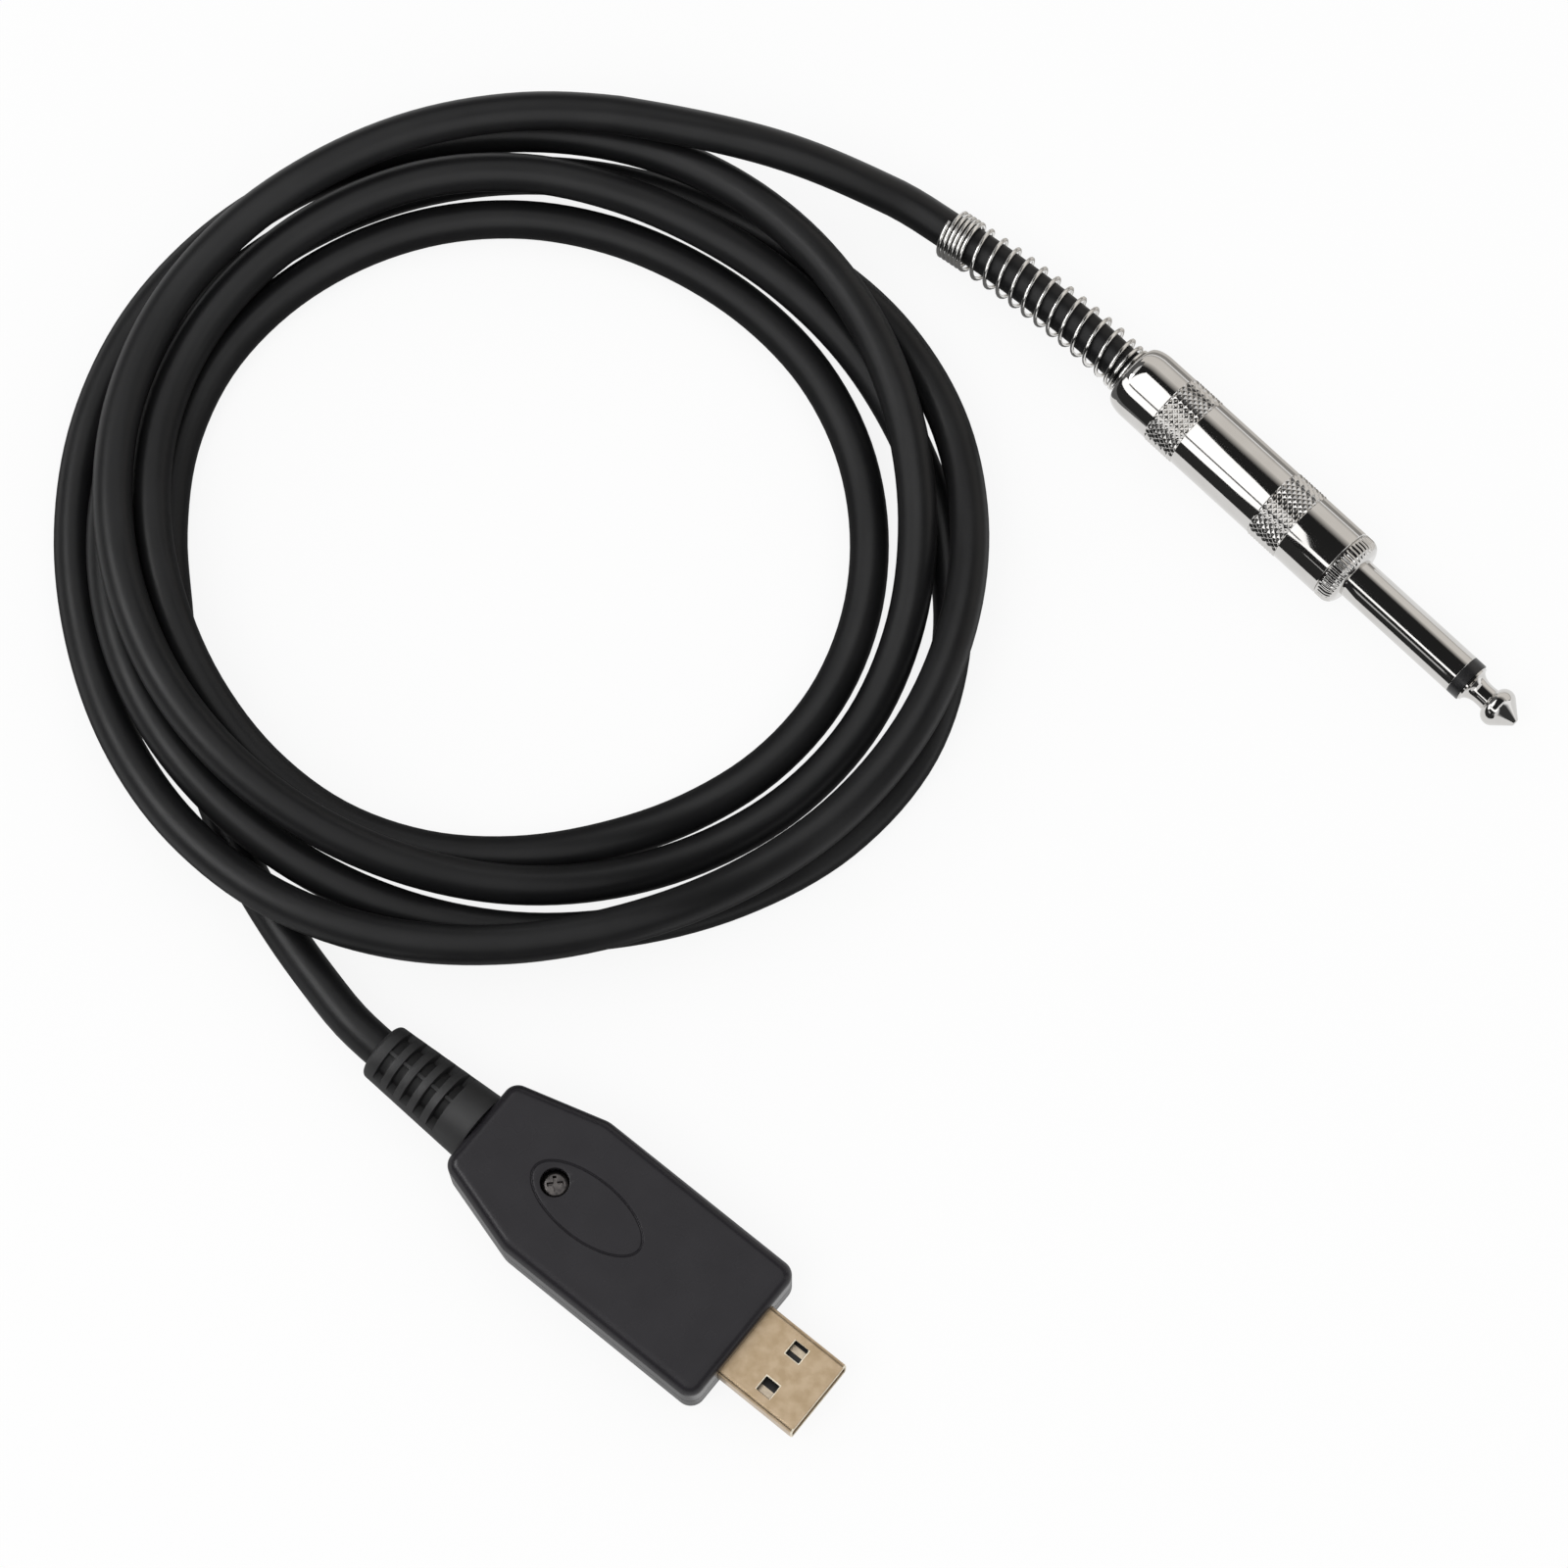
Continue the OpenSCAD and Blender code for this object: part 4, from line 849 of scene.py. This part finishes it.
# %% Loft outlines and cut openings
def outline(corners, inset, steps=10):
    """A convex outline whose corners are arcs about fixed middles, so that it can shrink evenly."""
    points = []
    neighbours = zip(corners[-1:] + corners[:-1], corners, corners[1:] + corners[:1])
    for (ax, ay, _), (bx, by, radius), (cx, cy, _) in neighbours:
        before = math.atan2(by - ay, bx - ax)
        after = math.atan2(cy - by, cx - bx)
        turning = (after - before) % (2 * math.pi)
        reach = radius / math.cos(turning / 2)
        inward = before + turning / 2 + math.pi / 2
        middle = (bx + reach * math.cos(inward), by + reach * math.sin(inward))
        for k in range(steps + 1):
            a = before - math.pi / 2 + turning * k / steps
            points.append((middle[0] + (radius - inset) * math.cos(a),
                middle[1] + (radius - inset) * math.sin(a)))
    return points


def ring(shape, points, height):
    return [shape.verts.new((x, y, height)) for x, y in points]


def join(shape, lower, upper):
    for k in range(len(lower)):
        shape.faces.new((lower[k - 1], lower[k], upper[k], upper[k - 1]))


def fill_between(shape, *rings):
    """Fills a flat area that lies inside the first ring and outside the others."""
    pairs = [(r[k - 1], r[k]) for r in rings for k in range(len(r))]
    edges = [shape.edges.get(pair) or shape.edges.new(pair) for pair in pairs]
    bmesh.ops.triangle_fill(shape, use_beauty=True, edges=edges)


def round_ring(shape, middle, radius, height, sides=48):
    turns = [2 * math.pi * k / sides for k in range(sides)]
    points = [(middle[0] + radius * math.cos(a), middle[1] + radius * math.sin(a)) for a in turns]
    return ring(shape, points, height)


def block(name, low, high):
    """A closed box between two corners, as a cutter or a rib."""
    shape = bmesh.new()
    bmesh.ops.create_cube(shape, size=1)
    for vert in shape.verts:
        vert.co = [l + (h - l) * (c + 0.5) for l, h, c in zip(low, high, vert.co)]
    return baked(shape, name, turn_out=False)


def cut(mesh, *cutters, operation="DIFFERENCE"):
    """The mesh less its cutters, or together with them."""
    for cutter in cutters:
        tool = bpy.data.objects.new("tool", cutter)
        scene.collection.objects.link(tool)
        mesh = finished(mesh, ("BOOLEAN", {"object": tool, "operation": operation, "solver": "EXACT"}))
        bpy.data.objects.remove(tool)
    return mesh


def bevelled(mesh, width, angle, **more):
    """The mesh with every edge rounded that is sharper than an angle in radians."""
    return finished(mesh, ("BEVEL", {"width": width, "segments": 2, "limit_method": "ANGLE",
        "angle_limit": angle, **more}))


# %% [markdown]
# ## The housing
# Two halves of moulded ABS meet in the middle of the edge. Each has a flat face with rounded rims and
# a wall all round. The upper half carries a fine oval groove and the sunk hole of the one screw. The
# halves lock with a lip, and posts and ribs inside hold the board and the plug. The satin face comes
# from a spark-eroded mould, whose grain is a fifth of a millimetre.

# %% Housing halves
PLASTIC = finish("housing_plastic", (0.0155, 0.0142, 0.0168), (0.0185, 0.0172, 0.02), 0.27, spread=0.03,
    blotch=6, grain=0.22, grain_depth=0.003, Specular_IOR_Level=0.25)
FRONT = 23.75
SHOULDER_X = -9.75
WALL = 1.5
RIM_R = 1.8
HALF_H = 5.5
CEILING = HALF_H - WALL
GAP = 0.05
SCREW_X = -9.95
PLAN = [(HOUSING_REAR, 7.5, 2.2), (HOUSING_REAR, -7.5, 2.2), (SHOULDER_X, -11.5, 4.4), (FRONT, -11.5, 2.2),
    (FRONT, 11.5, 2.2), (SHOULDER_X, 11.5, 4.4)]
OVAL = (9.5, 4.5)
OVAL_X = -4.25
GROOVE_W = 0.5
GROOVE_DEPTH = 0.18
BOARD_REAR = SCREW_X + 3.2
HOLE_DEPTH = 2.4


def oval_points(inset):
    """An ellipse moved inwards by the same distance everywhere."""
    points = []
    for k in range(96):
        c = math.cos(2 * math.pi * k / 96)
        s = math.sin(2 * math.pi * k / 96)
        slope = math.hypot(c / OVAL[0], s / OVAL[1])
        points.append((OVAL_X + OVAL[0] * c - inset * c / OVAL[0] / slope,
            OVAL[1] * s - inset * s / OVAL[1] / slope))
    return points


def half_shell(name, lip, hole, face):
    """One half with its outer face up. lip gives the steps inside the mating edge, hole the screw's."""
    shape = bmesh.new()
    levels = [(0.12, 0), (0, 0.12), (0, HALF_H - RIM_R)]
    levels += [(RIM_R - x, HALF_H - RIM_R + y) for x, y in arc((0, 0), (RIM_R, RIM_R), 9, 90, 9)]
    levels += [(RIM_R + 0.3, HALF_H)]
    inner = [*lip, (WALL, CEILING)]
    rings = {level: ring(shape, outline(PLAN, level[0]), level[1]) for level in levels + inner}
    chain = [rings[level] for level in inner[::-1] + levels]
    for lower, upper in zip(chain, chain[1:]):
        join(shape, lower, upper)
    boss = [round_ring(shape, (SCREW_X, 0), 2.8, h) for h in (CEILING, GAP)]
    bore = [round_ring(shape, (SCREW_X, 0), hole, h) for h in (GAP, face["bore_end"])]
    fill_between(shape, chain[0], boss[0])
    for lower, upper in zip([*boss, *bore], [*boss[1:], *bore]):
        join(shape, lower, upper)
    face["close"](shape, chain[-1], bore[-1])
    mesh = painted(baked(shape, name), PLASTIC)
    ribs = [block("rib", (FRONT - 6.4, -5, 2.3), (FRONT - WALL + 0.1, 5, CEILING + 0.1))]
    for side in (-1, 1):
        ribs.append(block("rib", (-20.2, side * 5.05 - 0.5, 2.85), (-19.2, side * 5.05 + 0.5, CEILING + 0.1)))
    return cut(mesh, *ribs, operation="UNION")


def grooved_face(shape, edge, bore):
    """The flat face with its oval groove and the sunk seat of the screw."""
    seat = HALF_H - HOLE_DEPTH
    steps = [GROOVE_W * k / 8 for k in range(9)]
    depths = [GROOVE_DEPTH * (1 - math.cos(2 * math.pi * t / GROOVE_W)) / 2 for t in steps]
    groove = [ring(shape, oval_points(t), HALF_H - depth) for t, depth in zip(steps, depths)]
    fill_between(shape, edge, groove[0])
    for outer, inner in zip(groove, groove[1:]):
        join(shape, outer, inner)
    sink = [round_ring(shape, (SCREW_X, 0), r, h) for r, h in
        ((2.2, HALF_H), (2.09, HALF_H - 0.05), (2.05, HALF_H - 0.15), (2.05, seat))]
    fill_between(shape, groove[-1], sink[0])
    for outer, inner in zip(sink, sink[1:] + [bore]):
        join(shape, outer, inner)


def plain_face(shape, edge, bore):
    """The plain underside. The screw's hole ends blind."""
    fill_between(shape, edge)
    shape.faces.new(bore)


def end_cutters():
    """The plug's opening at the front and the strain relief's at the rear."""
    mouth = block("mouth", (FRONT - 2.5, -6.05, -2.3), (FRONT + 1, 6.05, 2.3))
    neck = turned("neck", [(HOUSING_REAR - 1, 0), (HOUSING_REAR - 1, 4.1), (HOUSING_REAR + 2.5, 4.1),
        (HOUSING_REAR + 2.5, 0)], 64)
    return mouth, neck


upper = half_shell("housing_top", [(0.75, 0), (0.75, 0.8), (WALL, 0.8)], 1.25,
    {"bore_end": HALF_H - HOLE_DEPTH, "close": grooved_face})
upper = cut(upper, *end_cutters())
lower = half_shell("housing_bottom", [(0.8, 0), (0.8, -0.75), (WALL, -0.75)], 1.12,
    {"bore_end": CEILING, "close": plain_face})
for x in (BOARD_REAR + 3, FRONT - 6.45 - 8):
    for side in (-1, 1):
        post = block("post", (x, side * 8 - 0.75, 1.2), (x + 1.5, side * 8 + 0.75, CEILING + 0.1))
        lower = cut(lower, post, operation="UNION")
lower = cut(lower, *end_cutters())
USB_MIDDLE = USB @ Matrix.Translation((0, 0, SPLIT))
LOWER = USB_MIDDLE @ Matrix.Scale(-1, 4, (0, 0, 1))
settle("housing_upper", upper, USB_MIDDLE, "cable", "housing_plastic", "housing_top", crease=30, level=True)
settle("housing_lower", lower, LOWER, "cable", "housing_plastic", "housing_bottom", crease=30, level=True)

# %% [markdown]
# ## The screw
# A small self-tapping screw sits sunk in its hole. Its head is a shallow dome with a cross recess, so
# it is turned first and the cross is cut with two tapered bars.

# %% Screw
def tapered_bar(length, width, low, high, angle):
    mesh = block("bar", (-length / 2, -width / 2, low), (length / 2, width / 2, high))
    for vert in mesh.vertices:
        if vert.co.z < (low + high) / 2:
            vert.co.x *= 0.72
            vert.co.y *= 0.8
    mesh.transform(Matrix.Rotation(math.radians(angle), 4, "Z"))
    return mesh


HEAD_H = 1.5
HEAD_R = 1.98
SHANK_LEN = 7.0
SHANK_R = 1.1
screw_profile = [(-SHANK_LEN, 0), (-SHANK_LEN, 0.7), (-SHANK_LEN + 0.8, SHANK_R), (-0.02, SHANK_R),
    (0, HEAD_R - 0.05), (0.06, HEAD_R), *arc((1.0, 0), (HEAD_H - 1.0, HEAD_R), 90, 0, 12)]
screw = turned("screw", screw_profile, 64)
screw.transform(Matrix.Rotation(math.radians(-90), 4, "Y"))
screw = cut(screw, *[tapered_bar(2.7, 0.6, HEAD_H * 0.35, HEAD_H + 1, a) for a in (45, 135)])
screw = bevelled(screw, 0.05, 0.6)
settle("screw", painted(screw, SCREW), USB @ Matrix.Translation((SCREW_X, 0, 8.6)), "cable", "screw_steel",
    "housing_screw", crease=40)

# %% [markdown]
# ## The plug's shell
# The shell is bent from tin plate: a rounded oblong tube with two square windows above and below that
# catch the socket's springs. Its mouth is rolled slightly inwards. The loft runs along the plug, the
# windows are cut through both walls, and a bevel rounds every cut edge, so that it catches light.

# %% USB shell
SHELL_REAR = 17.35
SHELL_MOUTH = 36.65
SHELL_HALF = (6.0, 2.25)
SHELL_WALL = 0.3
WINDOW = 2.3
WINDOW_BACK = 6.4
WINDOW_SIDE = 3.15
RIM_REACH = 1.6
MOUTH_REACH = 0.3


def section(inset):
    w, h = SHELL_HALF
    return outline([(-w, h, 0.8), (-w, -h, 0.8), (w, -h, 0.8), (w, h, 0.8)], inset, 8)


tube = bmesh.new()
stops = [(0.04, SHELL_REAR), (0, SHELL_REAR + 0.05), (0, SHELL_MOUTH - 0.5), (0.012, SHELL_MOUTH - 0.25),
    (0.04, SHELL_MOUTH - 0.1), (0.12, SHELL_MOUTH - 0.01), (0.17, SHELL_MOUTH), (0.24, SHELL_MOUTH - 0.02),
    (SHELL_WALL, SHELL_MOUTH - 0.12), (SHELL_WALL, SHELL_REAR)]
sections = [ring(tube, section(inset), x) for inset, x in stops]
for lower_ring, upper_ring in zip(sections, sections[1:] + sections[:1]):
    join(tube, lower_ring, upper_ring)
shell = baked(tube, "shell")
shell.transform(Matrix(((0, 0, 1, 0), (1, 0, 0, 0), (0, 1, 0, 0), (0, 0, 0, 1))))
window_x = SHELL_MOUTH - WINDOW_BACK
openings = [block("window", (window_x - WINDOW / 2, side * WINDOW_SIDE - WINDOW / 2, -4),
    (window_x + WINDOW / 2, side * WINDOW_SIDE + WINDOW / 2, 4)) for side in (-1, 1)]
seam = block("seam", (SHELL_REAR - 1, -0.03, -2.4), (SHELL_MOUTH + 1, 0.03, -2.15))
shell = cut(shell, *openings, seam)
shell = painted(painted(bevelled(shell, 0.14, 0.9, use_clamp_overlap=False), SHELL), PALE_EDGE_AND_HIGHLIGHT)


def on_pale_highlit_edge(face):
    """Whether a face belongs to the bevels round the windows or to the rolled mouth."""
    lean = [abs(part) for part in face.normal]
    slanted = max(lean[0], lean[2]) < 0.97 and lean[0] + lean[1] > 0.2
    away = (abs(face.center.x - SHELL_MOUTH + WINDOW_BACK), abs(abs(face.center.y) - WINDOW_SIDE))
    return slanted and (max(away) < RIM_REACH or face.center.x > SHELL_MOUTH - MOUTH_REACH)


# The window bevels and the rolled mouth take the pale colour, which is part bare metal and part painted
# highlight
for face in shell.polygons:
    if on_pale_highlit_edge(face):
        face.material_index = 1
settle("shell", shell, USB_MIDDLE, "cable", "shell_metal", "usb_shell",
    crease=40, level=True)

# %% [markdown]
# ## The strain relief
# The moulded sleeve bends because five slots on each side take most of its rubber away. The body is
# turned. A tree then places curved cutters along it, above and below, and cuts them all out at once. A
# thin web in the middle of each slot is left standing. Spines at both sides keep the sleeve whole.

# %% Strain relief with cut slots
RUBBER = finish("relief_rubber", (0.011, 0.011, 0.0115), (0.0145, 0.0145, 0.015), 0.55, spread=0.05, blotch=4,
    grain=0.3, grain_depth=0.008)
RELIEF_TIP_R = 4.35
RELIEF_ROOT_R = 5.3
CORD_BORE_R = 2.95
SLOTS = {"Slots": 5, "Pitch": 2.5, "First": RELIEF_START + 2.7, "Width": 1.35, "Floor radius": 3.1,
    "Reach": 3.5, "From angle": -66.0, "To angle": 86.0, "Web": 7.0, "Web radius": 3.95}

slots, given, size = new_tree("slots", SLOTS)
bar = add(slots, "GeometryNodeMeshCube", {"Size": (1, 1, 1), "Vertices X": 2, "Vertices Y": 2,
    "Vertices Z": 20})
x, y, z = own_place(slots)
line_up = add(slots, "GeometryNodePoints", {"Count": size["Slots"] * 2})
index = own_number(slots)
station = (index / 2).maths("FLOOR") * size["Pitch"] + size["First"]
side = index.maths("MODULO", 2) * math.pi
# Three cutters to a slot: one on each side of the web, and a shallower one over it
cutters = []
for start, end, floor in (("From angle", None, None), (None, "To angle", None), (None, None, "Web radius")):
    first = size[start] if start else (size["Web"] / 2 if end else size["Web"] * -0.6)
    last = size[end] if end else (size["Web"] * -0.5 if start else size["Web"] * 0.6)
    bottom = size[floor or "Floor radius"]
    angle = (last - (z + 0.5) * (last - first)) * (math.pi / 180)
    r = (y + 0.5) * size["Reach"] + bottom
    cutters.append(moved(slots, bar.outputs[0], x * size["Width"], angle.maths("SINE") * r,
        angle.maths("COSINE") * r))
placed = moved(slots, line_up.outputs[0], station)
turn = vector(slots, side)
carved = given.outputs[0]
for curved in cutters:
    copies = add(slots, "GeometryNodeInstanceOnPoints", {"Points": placed, "Instance": curved,
        "Rotation": turn})
    solid = add(slots, "GeometryNodeRealizeInstances", {"Geometry": copies.outputs[0]})
    carved = add(slots, "GeometryNodeMeshBoolean", {0: carved, 1: solid.outputs[0]}, operation="DIFFERENCE",
        solver="EXACT").outputs[0]
close_tree(slots, carved, RUBBER)

taper = [(RELIEF_START + 0.8 + 16.8 * k / 12, RELIEF_TIP_R + (RELIEF_ROOT_R - RELIEF_TIP_R) * k / 12)
    for k in range(1, 12)]
relief_profile = [(RELIEF_START, CORD_BORE_R), (RELIEF_START, RELIEF_TIP_R - 0.8),
    *arc((RELIEF_START + 0.8, RELIEF_TIP_R - 0.8), (0.8, 0.8), 170, 90, 8), *taper,
    (HOUSING_REAR - 0.4, RELIEF_ROOT_R), (HOUSING_REAR, RELIEF_ROOT_R), (HOUSING_REAR, 4.05),
    (HOUSING_REAR + WALL + GAP, 4.05), (HOUSING_REAR + WALL + GAP, 5.3), (-20.25, 5.3), (-20.25, CORD_BORE_R)]
relief = worked("strain_relief", turned("strain_relief", relief_profile, 96), slots, SLOTS)
relief = bevelled(relief, 0.09, 0.9)
settle("strain_relief", relief, USB_MIDDLE, "cable", "relief_rubber", "strain_relief", crease=40)

# %% [markdown]
# ## Small parts that stay as packed
# The board, its chips, wires, contacts and the inner parts of the plug already have the right shape.
# They only get their real finishes. The tongue of this plug is black, and the blades on it are worn
# gold.

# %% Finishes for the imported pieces
def dress(nodes, *look, **sizes):
    """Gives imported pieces, named in one string, a finish of their own."""
    material = finish(*look, **sizes)
    for name in nodes.split():
        mesh = frame["nodes"][name].data
        mesh.materials.clear()
        mesh.materials.append(material)


dress("usb_tongue", "tongue_plastic", (0.006, 0.006, 0.006), (0.01, 0.01, 0.01), 0.4, blotch=2)
dress("usb_contacts", "contact_metal", (0.5, 0.42, 0.33), (0.62, 0.53, 0.4), 0.25, blotch=0.8, Metallic=1.0)
dress("circuit_board", "board_laminate", (0.01, 0.09, 0.035), (0.014, 0.12, 0.05), 0.35, blotch=3)
dress("codec_chip", "chip_plastic", (0.012, 0.012, 0.013), (0.02, 0.02, 0.021), 0.5, blotch=1)
dress("crystal_can", "can_metal", (0.5, 0.5, 0.5), (0.65, 0.65, 0.66), 0.28, blotch=1, Metallic=1.0)
dress("board_capacitors", "capacitor_ceramic", (0.3, 0.18, 0.08), (0.38, 0.25, 0.13), 0.45, blotch=0.6)
dress("usb_core_wire jack_core_wire", "wire_insulation", (0.42, 0.03, 0.02), (0.5, 0.045, 0.03), 0.4,
    blotch=2)
dress("usb_shield_wire jack_shield_wire", "copper", (0.72, 0.36, 0.19), (0.8, 0.46, 0.28), 0.28, blotch=0.5,
    grain=0.12, grain_depth=0.01, Metallic=1.0)
dress("insulating_tube", "tube_plastic", (0.035, 0.035, 0.04), (0.05, 0.05, 0.055), 0.35, blotch=4)
dress("cord_clamp tip_terminal", "terminal_brass", (0.66, 0.5, 0.24), (0.75, 0.6, 0.34), 0.24, blotch=1.5,
    Metallic=1.0)
dress("rear_insulator", "washer_plastic", (0.17, 0.07, 0.03), (0.23, 0.1, 0.045), 0.5, blotch=1)
print("packed pieces dressed")
